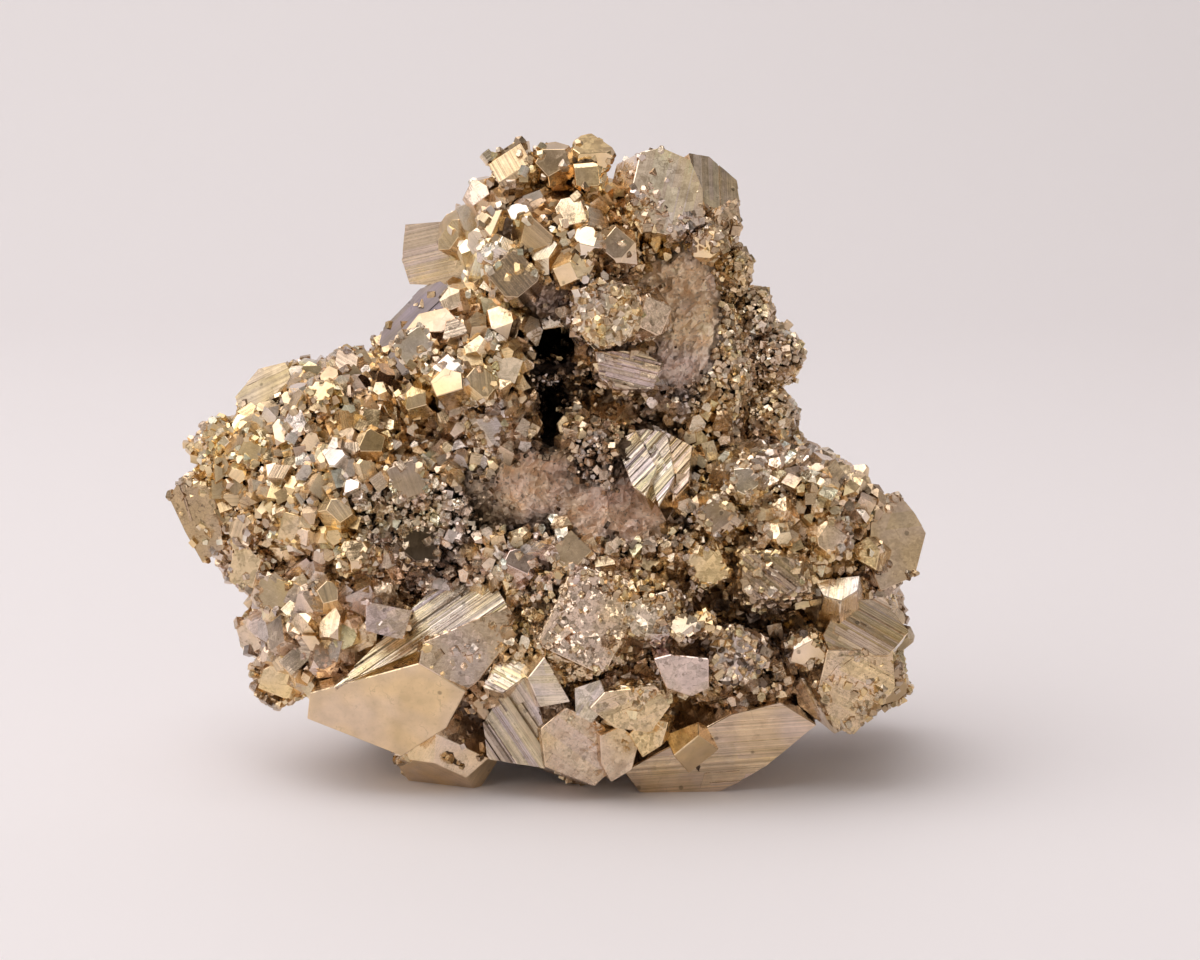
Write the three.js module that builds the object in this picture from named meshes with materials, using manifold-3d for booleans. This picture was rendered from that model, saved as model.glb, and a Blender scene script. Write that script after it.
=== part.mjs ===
// A pyrite specimen: one natural cluster of intergrown crystals, standing on its lowest crystals.
// It is a single solid. A lumpy body carries the crystals, and a shallow vug with two dark holes
// opens in its front. Millimetres, +Z up, front towards -Y, origin under the middle of the
// specimen at the surface that it stands on.
import * as THREE from "three";
import { ConvexGeometry } from "three/addons/geometries/ConvexGeometry.js";
import { mergeVertices } from "three/addons/utils/BufferGeometryUtils.js";
import Module from "manifold-3d";

const SPECIMEN = { width: 95, depth: 60, height: 80 };
const CUT_ROOM = 40; // how far the trimming block reaches past the specimen
const CENTRING = -3; // moves the middle of the depth onto the origin
const BOULDER_WOBBLE = 0.05; // how uneven a boulder's radius is
const CRYSTAL_WOBBLE = 0.07; // how uneven a crystal's faces are
const CORNER_FIT = 1e-6;
const SAME_POINT = 1e-3;

// The body's boulders: centre and radii.
const BOULDERS = [
  { at: [0, 6, 30], radii: [30, 21, 21], detail: 2 },
  { at: [-25, 3, 37], radii: [14, 16, 13.5], detail: 2 },
  { at: [-35, 4, 36.5], radii: [8.5, 9, 9], detail: 1 },
  { at: [-25, 0, 20], radii: [12, 14, 10], detail: 1 },
  { at: [1, 2, 62], radii: [11.5, 12, 14], detail: 1 },
  { at: [15, 5, 65], radii: [8.5, 9, 11], detail: 1 },
  { at: [-8, 0, 51], radii: [8, 12, 11], detail: 1 },
  { at: [18, 6, 50], radii: [11, 12, 15], detail: 1 },
  { at: [27, 0, 31], radii: [14, 16, 11.5], detail: 1 },
  { at: [35, 0, 24], radii: [8, 11, 9], detail: 1 },
  { at: [2, -1, 15], radii: [20, 16, 11], detail: 1 },
  { at: [24, 4, 14], radii: [13, 14, 9], detail: 1 },
  { at: [24, -5, 15], radii: [9, 10, 6], detail: 1 },
  { at: [-17, 4, 16], radii: [13, 15, 11], detail: 1 },
  { at: [2, 16, 33], radii: [25, 11, 22], detail: 1 },
  { at: [4, 12, 55], radii: [15, 10, 15], detail: 1 },
  { at: [39, 12, 15], radii: [6, 8, 9], detail: 1 },
  // nodules along the right flank
  { at: [28.5, 1, 52.5], radii: [3.2, 4, 3.2], detail: 1 },
  { at: [25.5, 2, 57.5], radii: [2.8, 4, 3.2], detail: 1 },
  { at: [23, 1, 63], radii: [2.4, 4, 3.2], detail: 1 },
  { at: [28, 0, 45], radii: [3.2, 5, 3.2], detail: 1 },
  { at: [33, -10, 37], radii: [4.2, 4.2, 4.2], detail: 1 },
  { at: [38, -6, 35], radii: [3, 3.6, 2.6], detail: 1 },
];

// The vug's two hollows and its two holes, taken out of the body.
const HOLLOWS = [
  { at: [2, -21, 39], radii: [11, 13.5, 10], detail: 1 },
  { at: [12, -22, 37], radii: [8.5, 13, 8], detail: 1 },
  { at: [16, -15, 56], radii: [7, 11.5, 11], detail: 1 },
  { at: [0.8, -6, 55], radii: [3.4, 15, 3], detail: 1 },
  { at: [0.5, -8, 46], radii: [2, 13, 4.2], detail: 1 },
];

// Large crystals that show one broad face: its outline from the front as [x, z], its depth at the
// middle and the way it looks. The body behind it is so thick, spreads by a ratio and leans.
const BROAD = [
  // crown
  {
    outline: [[11.5, 78], [14, 78.5], [17.5, 77], [19, 73.5], [19, 69.5], [15.5, 68], [11.5, 69], [10.5, 74]],
    depth: -6, face: [0.15, -0.95, 0.25], thick: 10, spread: 1.1, lean: [-1, 0, 0],
  },
  {
    outline: [[17.5, 77.5], [20, 77], [23.5, 74], [24, 71], [20.5, 69], [19, 72]],
    depth: 1, face: [0.45, -0.8, 0.35], thick: 8, spread: 0.95, lean: [0, 0, 0],
  },
  {
    outline: [[20.5, 70.5], [23.5, 71.5], [24, 68.5], [23, 66.5], [20.5, 67]],
    depth: -2, face: [0.2, -0.97, 0], thick: 6, spread: 0.95, lean: [0, 0, 0],
  },
  {
    outline: [[-18, 68], [-13.5, 68.5], [-10.5, 66], [-10, 61.5], [-13.5, 60.5], [-17.5, 60.5], [-18.5, 63.5]],
    depth: 8, face: [-0.35, -0.93, 0.05], thick: 9, spread: 0.9, lean: [0, 0, 0],
  },
  // middle
  {
    outline: [[3.5, 62], [6.5, 63], [10, 62], [11.5, 59.5], [10, 56.5], [6.5, 55.5], [3.5, 57.5]],
    depth: -13, face: [-0.1, -0.98, 0.1], thick: 7, spread: 1.15, lean: [0, 0, 0],
  },
  {
    outline: [[6, 54.5], [11.5, 54.5], [14, 53], [13, 50], [8.5, 50], [6.5, 51.5]],
    depth: -11, face: [0.05, -0.97, 0.2], thick: 6, spread: 1.1, lean: [0, 0, 0],
  },
  {
    outline: [[-2.5, 60], [0, 63], [2.5, 61.5], [2, 57], [-1.5, 56.5]],
    depth: -7, face: [0.1, -0.98, 0.1], thick: 6, spread: 1.1, lean: [0, 0, 0],
  },
  {
    outline: [[8, 43.5], [12.5, 44.5], [15, 40], [13, 36.5], [10.5, 39]],
    depth: -10, face: [-0.35, -0.75, 0.5], thick: 5, spread: 1, lean: [0, 0, 0],
  },
  {
    outline: [[13.5, 44.5], [18, 42.5], [17, 38.5], [14.5, 36], [13.5, 39.5]],
    depth: -9, face: [-0.35, -0.8, 0.45], thick: 5, spread: 1, lean: [0, 0, 0],
  },
  // ridge and left arm
  {
    outline: [[-20.5, 54.5], [-20, 56.5], [-15.5, 61], [-13, 62], [-9.5, 60], [-9, 55], [-17.5, 51]],
    depth: -4, face: [-0.3, -0.8, 0.5], thick: 8, spread: 1, lean: [2, 0, -1],
  },
  {
    outline: [[-39.5, 46.5], [-36.5, 50], [-33, 51], [-31, 48.5], [-32.5, 44.5], [-38.5, 44.5]],
    depth: 4, face: [-0.4, -0.75, 0.5], thick: 8, spread: 0.95, lean: [0, 0, 0],
  },
  {
    outline: [[-47.5, 34.5], [-45.5, 37.5], [-41.5, 36], [-40.5, 28.5], [-43.5, 26], [-45.5, 30]],
    depth: 0, face: [-0.35, -0.9, -0.2], thick: 8, spread: 0.9, lean: [1, 0, 0],
  },
  // right side
  {
    outline: [[40, 34.5], [43.5, 36], [45.5, 33.5], [47, 31], [45.5, 26], [41, 24.5], [39.5, 28.5]],
    depth: -6, face: [0.35, -0.9, 0.25], thick: 9, spread: 0.85, lean: [-1, 0, 0],
  },
  {
    outline: [[37, 30.5], [39, 32], [40.5, 30.5], [40, 28], [38, 29]],
    depth: -12, face: [-0.3, -0.93, 0.2], thick: 7, spread: 1.1, lean: [0, 0, 0],
  },
  {
    outline: [[32.5, 27], [38, 27.5], [37.5, 26], [35.5, 25], [33.5, 25.5]],
    depth: -15, face: [0, -0.7, 0.7], thick: 5, spread: 1.4, lean: [0, 0, -1],
  },
  {
    outline: [[23.5, 31.5], [29.5, 31], [30.5, 27.5], [25, 26], [23.5, 27]],
    depth: -20, face: [-0.1, -0.98, 0.12], thick: 7, spread: 1.55, lean: [0, 0, -1],
  },
  {
    outline: [[34, 19], [42, 18.5], [42.5, 13.5], [37.5, 8], [35, 9], [33, 14]],
    depth: -15, face: [0.25, -0.95, -0.1], thick: 10, spread: 1.3, lean: [-1, 0, 2],
  },
  // foot of the front
  {
    outline: [[9.5, 3], [17.5, 6.5], [22.5, 10.5], [28.5, 12], [33, 9], [27, 3.5], [21.5, 0], [16.5, -0.5], [11.5, 0]],
    depth: -13, face: [0.05, -0.97, -0.25], thick: 14, spread: 0.95, lean: [0, 0, 1],
  },
  {
    outline: [[14.5, 8], [18.5, 10], [18.5, 8.5], [15.5, 6]],
    depth: -16, face: [-0.45, -0.7, 0.55], thick: 5, spread: 1.2, lean: [0, 0, 0],
  },
  {
    outline: [[-0.5, 10], [2.5, 12.5], [7, 10], [10, 6], [6, 2], [0, 5]],
    depth: -17.5, face: [0.25, -0.95, -0.15], thick: 9, spread: 1, lean: [0, 0, -3.5],
  },
  {
    outline: [[-4.5, 15], [-2, 16], [0, 9.5], [0, 4.5], [-7, 5], [-7.5, 9.5]],
    depth: -16, face: [-0.35, -0.93, -0.05], thick: 9, spread: 1, lean: [2, 0, -2],
  },
  {
    outline: [[-7.5, 14.5], [-6, 17.5], [-4.5, 19.5], [-0.5, 18], [-2, 16], [-5, 14]],
    depth: -16, face: [-0.1, -0.8, 0.55], thick: 6, spread: 1, lean: [0, 0, 0],
  },
  {
    outline: [[-2, 16.5], [0, 19], [3, 13.5], [-0.5, 13]],
    depth: -20, face: [0.15, -0.95, 0.1], thick: 5, spread: 1.3, lean: [0, 0, 0],
  },
  {
    outline: [[13, 19], [15, 19.5], [19.5, 19], [19.5, 15.5], [17.5, 14.5], [14.5, 15.5]],
    depth: -21, face: [0, -0.99, 0.1], thick: 6, spread: 1.2, lean: [0, 0, 1.5],
  },
  {
    outline: [[20, 21.5], [23.5, 22], [26.5, 20.5], [26.5, 18], [24.5, 16], [21, 16], [19.5, 18.5]],
    depth: -19, face: [0.1, -0.95, 0.2], thick: 6, spread: 1.1, lean: [0, 0, 0],
  },
  {
    outline: [[6.5, 13.5], [9, 15.5], [13, 15], [10.5, 11], [7.5, 11]],
    depth: -20, face: [-0.1, -0.95, 0.1], thick: 6, spread: 1.1, lean: [0, 0, 0],
  },
  // lower left
  {
    outline: [[-28.5, 13.5], [-18.5, 16.5], [-15, 18], [-9.5, 14.5], [-12, 9.5], [-17.5, 5.5], [-29, 10]],
    depth: -17, face: [-0.15, -0.95, -0.25], thick: 9, spread: 1.05, lean: [2, 0, 2],
  },
  {
    outline: [[-14.5, 20.5], [-4.5, 24], [-3.5, 22.5], [-5.5, 18.5], [-8, 15.5], [-9.5, 14.5], [-15, 18]],
    depth: -17, face: [0.3, -0.92, 0.25], thick: 8, spread: 1, lean: [0, 0, 0],
  },
  {
    outline: [[-12, 27], [-6.5, 27], [-4.5, 24], [-14.5, 19], [-25.5, 14.5]],
    depth: -14, face: [-0.2, -0.75, 0.62], thick: 8, spread: 1, lean: [0, 0, 0],
  },
  {
    outline: [[-21.5, 25], [-16, 24], [-17, 20.5], [-21.5, 21.5]],
    depth: -17, face: [-0.05, -0.98, 0.15], thick: 6, spread: 0.9, lean: [0, 0, 0],
  },
];

// Smaller crystals and those at the back: habit, centre, size (the inner radius), the way the main
// face looks, and the turn about that direction in degrees.
const CRYSTALS = [
  // crown
  { habit: "cube", at: [-3.5, -3, 75.5], size: 2.4, face: [-0.35, -0.8, 0.5], spin: 15 },
  { habit: "pyritohedron", at: [1, -4, 76.5], size: 2.4, face: [0, -0.98, 0.2], spin: 30 },
  { habit: "octahedron", at: [5.3, -2, 77], size: 2.3, face: [0.1, -0.5, 0.85], spin: 0 },
  { habit: "cube", at: [5, -5, 75], size: 1.5, face: [0.05, -0.95, 0.3], spin: 8 },
  { habit: "pyritohedron", at: [-7.5, -2, 72.5], size: 2.2, face: [-0.3, -0.9, 0.3], spin: 20 },
  { habit: "octahedron", at: [-6, -8, 69.5], size: 1.8, face: [-0.3, -0.85, 0.4], spin: 40 },
  { habit: "octahedron", at: [-1.5, -9, 68.5], size: 2.2, face: [0.2, -0.96, -0.1], spin: 15 },
  { habit: "cube", at: [3, -9, 70.5], size: 1.8, face: [0.1, -0.8, 0.55], spin: 20 },
  { habit: "cuboctahedron", at: [5, -10, 67.5], size: 1.8, face: [0, -0.8, 0.55], spin: 30 },
  { habit: "octahedron", at: [-5.5, -9, 66], size: 2.1, face: [-0.1, -0.95, -0.2], spin: 70 },
  { habit: "cube", at: [-3.5, -11, 63], size: 2.4, face: [-0.1, -0.9, 0.3], spin: 35 },
  { habit: "cuboctahedron", at: [-10.5, 4, 67], size: 2.6, face: [-0.6, -0.7, 0.1], spin: 10 },
  { habit: "cuboctahedron", at: [8.5, -8, 66.5], size: 2.3, face: [0, -0.95, 0.3], spin: 5 },
  { habit: "cuboctahedron", at: [3.5, -10, 64], size: 2.2, face: [-0.3, -0.9, -0.1], spin: 50 },
  { habit: "cuboctahedron", at: [12, -9, 58.5], size: 2.6, face: [0.25, -0.95, 0.1], spin: 35 },
  { habit: "cuboctahedron", at: [19.5, -4, 67], size: 2, face: [0, -0.95, -0.2], spin: 40 },
  // ridge
  { habit: "pyritohedron", at: [-10.5, -7, 60], size: 1.9, face: [-0.4, -0.85, 0.2], spin: 0 },
  { habit: "cube", at: [-11.5, -12, 52], size: 1.9, face: [-0.1, -0.8, 0.6], spin: 40 },
  { habit: "cuboctahedron", at: [-8, -12, 50.5], size: 2, face: [0.2, -0.9, 0.3], spin: 15 },
  { habit: "cube", at: [-6, -8, 52.5], size: 2.6, face: [0.75, -0.62, -0.1], spin: 25 },
  { habit: "cube", at: [-15.5, -10, 55], size: 2, face: [-0.1, -0.95, 0.2], spin: 30 },
  { habit: "pyritohedron", at: [-15.5, -7, 48], size: 2.2, face: [-0.1, -0.95, 0.2], spin: 10 },
  { habit: "octahedron", at: [-7, -10.5, 45], size: 2, face: [0.1, -0.95, 0.1], spin: 55 },
  // left arm
  { habit: "cube", at: [-41, 1, 41], size: 2.5, face: [-0.4, -0.88, 0.15], spin: 20 },
  { habit: "octahedron", at: [-25, 0, 50.5], size: 2.3, face: [0, -0.7, 0.7], spin: 10 },
  { habit: "pyritohedron", at: [-25, -12.5, 35.5], size: 2.6, face: [0.2, -0.95, 0.2], spin: 45 },
  { habit: "octahedron", at: [-23, -13.5, 30], size: 2, face: [0, -0.85, 0.5], spin: 50 },
  { habit: "cube", at: [-30, -8, 45], size: 1.6, face: [-0.1, -0.9, 0.4], spin: 20 },
  { habit: "cube", at: [-36, -3.5, 41], size: 1.7, face: [-0.3, -0.9, 0.2], spin: 50 },
  { habit: "octahedron", at: [-37, -5, 32], size: 2, face: [-0.4, -0.9, 0], spin: 30 },
  { habit: "cube", at: [-31, -10, 33], size: 1.8, face: [-0.2, -0.95, 0.1], spin: 65 },
  { habit: "pyritohedron", at: [-21, -10, 43], size: 2, face: [0, -0.95, 0.3], spin: 0 },
  { habit: "cube", at: [-16.5, -11.5, 39], size: 2.1, face: [0.1, -0.97, 0.2], spin: 25 },
  { habit: "octahedron", at: [-27, -8, 48.5], size: 1.7, face: [0, -0.8, 0.6], spin: 45 },
  { habit: "cube", at: [-15, -13, 31], size: 2, face: [0.1, -0.9, 0.4], spin: 10 },
  // lower left
  { habit: "cuboctahedron", at: [-33, -5, 13], size: 3, face: [-0.2, -0.95, 0.1], spin: 15 },
  { habit: "cuboctahedron", at: [-35.5, -2, 18], size: 2.6, face: [-0.6, -0.75, 0.1], spin: 35 },
  { habit: "octahedron", at: [-28.5, -11, 19], size: 2.4, face: [-0.1, -0.95, 0.2], spin: 35 },
  { habit: "cube", at: [-33, -8, 24], size: 2, face: [-0.3, -0.9, 0.2], spin: 60 },
  { habit: "pyritohedron", at: [-26, -12.5, 25], size: 2.2, face: [0, -0.95, 0.3], spin: 15 },
  // vug
  { habit: "pyritohedron", at: [7.5, -4, 45], size: 3.6, face: [-0.2, -0.95, -0.2], spin: 10 },
  { habit: "cuboctahedron", at: [-3, -13, 29], size: 2.4, face: [0, -0.9, 0.4], spin: 20 },
  { habit: "cube", at: [3, -15, 30], size: 2, face: [0.1, -0.9, 0.4], spin: 50 },
  // right side
  { habit: "cube", at: [21, -15, 35], size: 1.9, face: [-0.1, -0.98, 0.2], spin: 32 },
  { habit: "cuboctahedron", at: [34, -13, 32], size: 2.3, face: [0.2, -0.95, 0.1], spin: 20 },
  { habit: "octahedron", at: [24, -14, 39], size: 2, face: [0, -0.9, 0.4], spin: 20 },
  { habit: "cube", at: [20, -14, 29], size: 2.2, face: [-0.2, -0.95, 0.1], spin: 15 },
  { habit: "cuboctahedron", at: [31.5, -15, 19], size: 2, face: [-0.2, -0.97, 0], spin: 20 },
  { habit: "cuboctahedron", at: [42.5, 12, 17.5], size: 3, face: [0.7, -0.7, 0], spin: 15 },
  { habit: "octahedron", at: [42.5, 13, 10.5], size: 3, face: [0.6, -0.7, -0.2], spin: 20 },
  // foot of the front
  { habit: "cuboctahedron", at: [-12.4, -7.3, 5.3], size: 5.3, face: [-0.25, -0.6, -0.75], spin: 20 },
  { habit: "cuboctahedron", at: [5, -13.5, 22.5], size: 6.4, face: [0, -0.95, 0.25], spin: 20 },
  { habit: "cuboctahedron", at: [12.5, -16.5, 24], size: 3.5, face: [0, -0.95, 0.25], spin: 60 },
  { habit: "cube", at: [16.5, -20, 22.5], size: 1.2, face: [-0.2, -0.8, 0.5], spin: 30 },
  { habit: "cube", at: [19, -19, 22.5], size: 1.2, face: [-0.4, -0.75, 0.5], spin: 10 },
  // back and sides
  { habit: "cuboctahedron", at: [-18, 18, 23], size: 6, face: [-0.3, 0.94, -0.1], spin: 30 },
  { habit: "octahedron", at: [2, 21, 27], size: 6, face: [0.05, 0.98, -0.15], spin: 10 },
  { habit: "cube", at: [17, 19.5, 37], size: 5, face: [0.3, 0.9, 0.25], spin: 25 },
  { habit: "pyritohedron", at: [-9, 20.5, 43], size: 5.2, face: [-0.2, 0.93, 0.3], spin: 50 },
  { habit: "cuboctahedron", at: [8, 18, 58], size: 4.8, face: [0.2, 0.93, 0.3], spin: 15 },
  { habit: "octahedron", at: [-5, 10, 70], size: 3.6, face: [-0.3, 0.8, 0.5], spin: 35 },
  { habit: "cube", at: [14.5, 11, 71.5], size: 3.4, face: [0.3, 0.8, 0.5], spin: 10 },
  { habit: "cube", at: [31, 13, 25], size: 5.5, face: [0.5, 0.85, -0.1], spin: 40 },
  { habit: "octahedron", at: [31, 12, 35], size: 4.4, face: [0.6, 0.7, 0.4], spin: 0 },
  { habit: "pyritohedron", at: [-30, 15, 33], size: 5.2, face: [-0.5, 0.85, 0], spin: 20 },
  { habit: "cube", at: [-38, 9, 28], size: 4, face: [-0.8, 0.5, -0.3], spin: 45 },
  { habit: "cube", at: [-23, 15, 45], size: 4.4, face: [-0.3, 0.8, 0.5], spin: 35 },
  { habit: "cuboctahedron", at: [-19, 10, 51], size: 3.2, face: [-0.2, 0.6, 0.75], spin: 20 },
  { habit: "octahedron", at: [-31, 8, 48], size: 2.6, face: [-0.4, 0.4, 0.8], spin: 60 },
  { habit: "cube", at: [26, 13, 51], size: 3.8, face: [0.85, 0.5, 0.15], spin: 30 },
  { habit: "cube", at: [20.5, 12, 60], size: 3, face: [0.75, 0.55, 0.35], spin: 5 },
  { habit: "cube", at: [41.5, 5, 25], size: 3, face: [0.95, 0.1, -0.2], spin: 25 },
  { habit: "octahedron", at: [5, 6, 74.5], size: 2.2, face: [0, 0.5, 0.85], spin: 25 },
  // rear feet
  { habit: "cuboctahedron", at: [-17, 14, 6.3], size: 6.6, face: [-0.1, 0.1, -1], spin: 20 },
  { habit: "pyritohedron", at: [19, 16, 6.2], size: 6.4, face: [0.05, 0.05, -1], spin: 35 },
  { habit: "octahedron", at: [2, 18, 9.5], size: 6, face: [0.1, 0.8, -0.6], spin: 40 },
  // notch under the left arm, and low behind the right side
  { habit: "cube", at: [-36, -1, 26], size: 2.6, face: [-0.5, -0.8, 0.1], spin: 40 },
  { habit: "octahedron", at: [41.5, 5, 10], size: 3.6, face: [0.5, -0.8, -0.3], spin: 25 },
];

const COLOURS = { pyrite: 0xc9a67e };

// Directions to every face of a form, from its indices with each choice of signs.
function directions(...indices) {
  const signs = (index) => (index === 0 ? [1] : [1, -1]);
  return indices.flatMap(([x, y, z]) =>
    signs(x).flatMap((sx) =>
      signs(y).flatMap((sy) =>
        signs(z).map((sz) => new THREE.Vector3(x * sx, y * sy, z * sz).normalize()),
      ),
    ),
  );
}

const CUBE = directions([1, 0, 0], [0, 1, 0], [0, 0, 1]);
const OCTAHEDRON = directions([1, 1, 1]);
const PYRITOHEDRON = directions([0, 1, 2], [1, 2, 0], [2, 0, 1]);

// Each habit's forms with their distances, and the direction of its main face.
const HABITS = {
  cube: { forms: [[CUBE, 1]], main: CUBE[4] },
  octahedron: { forms: [[OCTAHEDRON, 1], [CUBE, 1.3]], main: OCTAHEDRON[0] },
  pyritohedron: { forms: [[PYRITOHEDRON, 1]], main: PYRITOHEDRON[0] },
  cuboctahedron: { forms: [[CUBE, 1], [OCTAHEDRON, 1.2]], main: CUBE[4] },
};

const wobble = (i, k) => Math.sin(12.9898 * (i + 1) + 78.233 * (k + 1));

// The corners of the convex body that the planes enclose, from every three planes that meet.
function corners(planes) {
  const found = [];
  const basis = new THREE.Matrix3();
  for (const [a, p] of planes.entries())
    for (const [b, q] of planes.entries())
      for (const [c, r] of planes.entries()) {
        if (a >= b || b >= c) continue;
        basis.set(...p.normal.toArray(), ...q.normal.toArray(), ...r.normal.toArray());
        if (Math.abs(basis.determinant()) < CORNER_FIT) continue;
        const corner = new THREE.Vector3(p.far, q.far, r.far).applyMatrix3(basis.invert());
        const inside = planes.every((s) => s.normal.dot(corner) <= s.far + CORNER_FIT);
        if (inside && found.every((v) => v.distanceTo(corner) > SAME_POINT)) found.push(corner);
      }
  return found;
}

function crystalGeometry({ habit, at, size, face, spin }, index) {
  const { forms, main } = HABITS[habit];
  const planes = forms.flatMap(([normals, far]) => normals.map((normal) => ({ normal, far })));
  const uneven = planes.map(({ normal, far }, k) => ({
    normal,
    far: far * size * (1 + CRYSTAL_WOBBLE * wobble(index, k)),
  }));
  const up = new THREE.Vector3(0, 0, 1);
  const upright = new THREE.Quaternion().setFromUnitVectors(main, up);
  const turned = new THREE.Quaternion().setFromAxisAngle(up, THREE.MathUtils.degToRad(spin));
  const aimed = new THREE.Quaternion().setFromUnitVectors(up, new THREE.Vector3(...face).normalize());
  const turn = aimed.multiply(turned).multiply(upright);
  const place = new THREE.Vector3(...at);
  return new ConvexGeometry(corners(uneven).map((v) => v.applyQuaternion(turn).add(place)));
}

function broadGeometry({ outline, depth, face, thick, spread, lean }) {
  const normal = new THREE.Vector3(...face).normalize();
  const middle = (axis) => outline.reduce((sum, point) => sum + point[axis], 0) / outline.length;
  const centre = new THREE.Vector3(middle(0), depth, middle(1));
  const front = outline.map(([x, z]) => {
    const slope = normal.x * (x - centre.x) + normal.z * (z - centre.z);
    return new THREE.Vector3(x, depth - slope / normal.y, z);
  });
  const away = new THREE.Vector3(...lean).addScaledVector(normal, -thick);
  const back = front.map((v) => v.clone().sub(centre).multiplyScalar(spread).add(centre).add(away));
  return new ConvexGeometry([...front, ...back]);
}

function boulderGeometry({ at, radii, detail }, index) {
  const geometry = new THREE.IcosahedronGeometry(1, detail);
  const position = geometry.getAttribute("position");
  const size = new THREE.Vector3(...radii);
  const place = new THREE.Vector3(...at);
  for (let i = 0; i < position.count; i++) {
    const v = new THREE.Vector3().fromBufferAttribute(position, i);
    const ripple =
      Math.sin(5 * v.x + index) + Math.sin(6 * v.y + 2 * index) + Math.sin(5 * v.z + 3 * index);
    v.multiplyScalar(1 + BOULDER_WOBBLE * ripple).multiply(size).add(place);
    position.setXYZ(i, v.x, v.y, v.z);
  }
  return geometry;
}

const wasm = await Module();
wasm.setup();

function solid(geometry) {
  const bare = geometry.index ? geometry.toNonIndexed() : geometry.clone();
  bare.deleteAttribute("normal");
  bare.deleteAttribute("uv");
  const merged = mergeVertices(bare, SAME_POINT);
  const mesh = new wasm.Mesh({
    numProp: 3,
    vertProperties: merged.getAttribute("position").array,
    triVerts: new Uint32Array(merged.index.array),
  });
  return new wasm.Manifold(mesh);
}

function geometryOf(manifold) {
  const { vertProperties, triVerts } = manifold.getMesh();
  const geometry = new THREE.BufferGeometry();
  geometry.setAttribute("position", new THREE.BufferAttribute(vertProperties, 3));
  geometry.setIndex(new THREE.BufferAttribute(triVerts, 1));
  const faceted = geometry.toNonIndexed();
  faceted.computeVertexNormals();
  return faceted;
}

const joined = (geometries) => geometries.map(solid).reduce((all, one) => all.add(one));

// A block whose lowest face is the surface that the specimen stands on.
function aboveGround() {
  const { width, depth, height } = SPECIMEN;
  const block = new THREE.BoxGeometry(width + CUT_ROOM, depth + CUT_ROOM, height + CUT_ROOM);
  return solid(block.translate(0, 0, (height + CUT_ROOM) / 2));
}

const body = joined(BOULDERS.map(boulderGeometry)).subtract(joined(HOLLOWS.map(boulderGeometry)));
const crystals = joined([...BROAD.map(broadGeometry), ...CRYSTALS.map(crystalGeometry)]);
const cluster = body.add(crystals).intersect(aboveGround());

const pyrite = new THREE.MeshStandardMaterial({
  color: COLOURS.pyrite,
  roughness: 0.35,
  metalness: 1,
});
const mesh = new THREE.Mesh(geometryOf(cluster).translate(0, CENTRING, 0), pyrite);
mesh.name = "pyrite_cluster";

const specimen = new THREE.Group();
specimen.add(mesh);
export default specimen;
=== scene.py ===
"""The looks of the pyrite specimen: a rough body, its large crystals and the druse between them."""

import math
from itertools import combinations, product

import bmesh
import bpy
import numpy as np
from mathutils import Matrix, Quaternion, Vector, noise


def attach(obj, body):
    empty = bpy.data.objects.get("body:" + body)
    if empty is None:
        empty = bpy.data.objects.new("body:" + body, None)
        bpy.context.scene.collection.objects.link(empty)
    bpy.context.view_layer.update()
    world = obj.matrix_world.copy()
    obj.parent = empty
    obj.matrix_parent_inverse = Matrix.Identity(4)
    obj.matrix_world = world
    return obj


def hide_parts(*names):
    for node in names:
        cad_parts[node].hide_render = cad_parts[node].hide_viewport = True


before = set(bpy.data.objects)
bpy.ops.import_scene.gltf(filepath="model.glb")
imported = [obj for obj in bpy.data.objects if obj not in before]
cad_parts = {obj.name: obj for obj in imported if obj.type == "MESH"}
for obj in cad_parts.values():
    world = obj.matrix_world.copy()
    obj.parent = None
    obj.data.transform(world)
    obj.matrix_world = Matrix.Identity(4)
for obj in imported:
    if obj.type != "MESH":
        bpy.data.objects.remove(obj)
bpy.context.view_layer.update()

MM = 0.001
NODE = "pyrite_cluster"
rng = np.random.default_rng(7)

# Lengths are in millimetres unless a comment says otherwise.
CENTRING = -3.0  # moves the middle of the depth onto the origin
CRYSTAL_WOBBLE = 0.07  # how far a crystal's faces shift, as a share of its size
BLUNT = (0.1, 0.05)  # width of the blunt edges of the broad and of the other large crystals
SUNK = 0.05  # how deep a growth layer goes into its face
VOXEL = 0.00072  # grain of the body's finer mesh, in metres
BRIGHTEST = 0.97  # of a metal's tone
GAP_SHADE = (0.68, 0.6)  # painted shade in the gaps: brightness of a small crystal at the surface it grows on, and its rise
# The body shows between the crystals; its tone is a dark painted shade for those gaps, then its
# dullness.
PAINTED_CREVICE_TONE, GAP_DULL = (0.19, 0.135, 0.09), 0.45
# The holes are painted near-black as painted shade, and made dull.
PAINTED_HOLE_TONE, HOLE_DULL = (0.05, 0.035, 0.025), 0.8
CELL_FILL = 0.42  # how much of its square of the bake map a face fills, from the middle
ON_FACE = 0.06  # a point of the CAD solid this near to a crystal's surface lies on it
BACK_FROM = 6  # depth where the back begins
POINTS_PER_MM2 = 9.0  # places tried for a small crystal
SPACING = 0.72  # least distance between small crystals, as a share of their sizes together
LARGEST_IN_CRUST = 0.5
SUGAR_LARGEST = 0.42
MIDDLE = (-10, 13)  # x where druse_middle begins and ends

# Metal tones, linear.
TONES = {
    "gold": (0.87, 0.67, 0.40),
    "face": (0.80, 0.62, 0.41),
    "bright": (0.95, 0.76, 0.54),
    "honey": (0.70, 0.53, 0.34),
    "tan": (0.84, 0.66, 0.46),
    "pale": (0.90, 0.77, 0.61),
    "pink": (0.82, 0.65, 0.52),
    "grey": (0.71, 0.60, 0.49),
    "brown": (0.58, 0.44, 0.30),
    "olive": (0.50, 0.40, 0.26),
    "dark": (0.20, 0.15, 0.11),
    "amber": (0.66, 0.49, 0.29),
    "mauve": (0.18, 0.15, 0.15),
}

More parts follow.
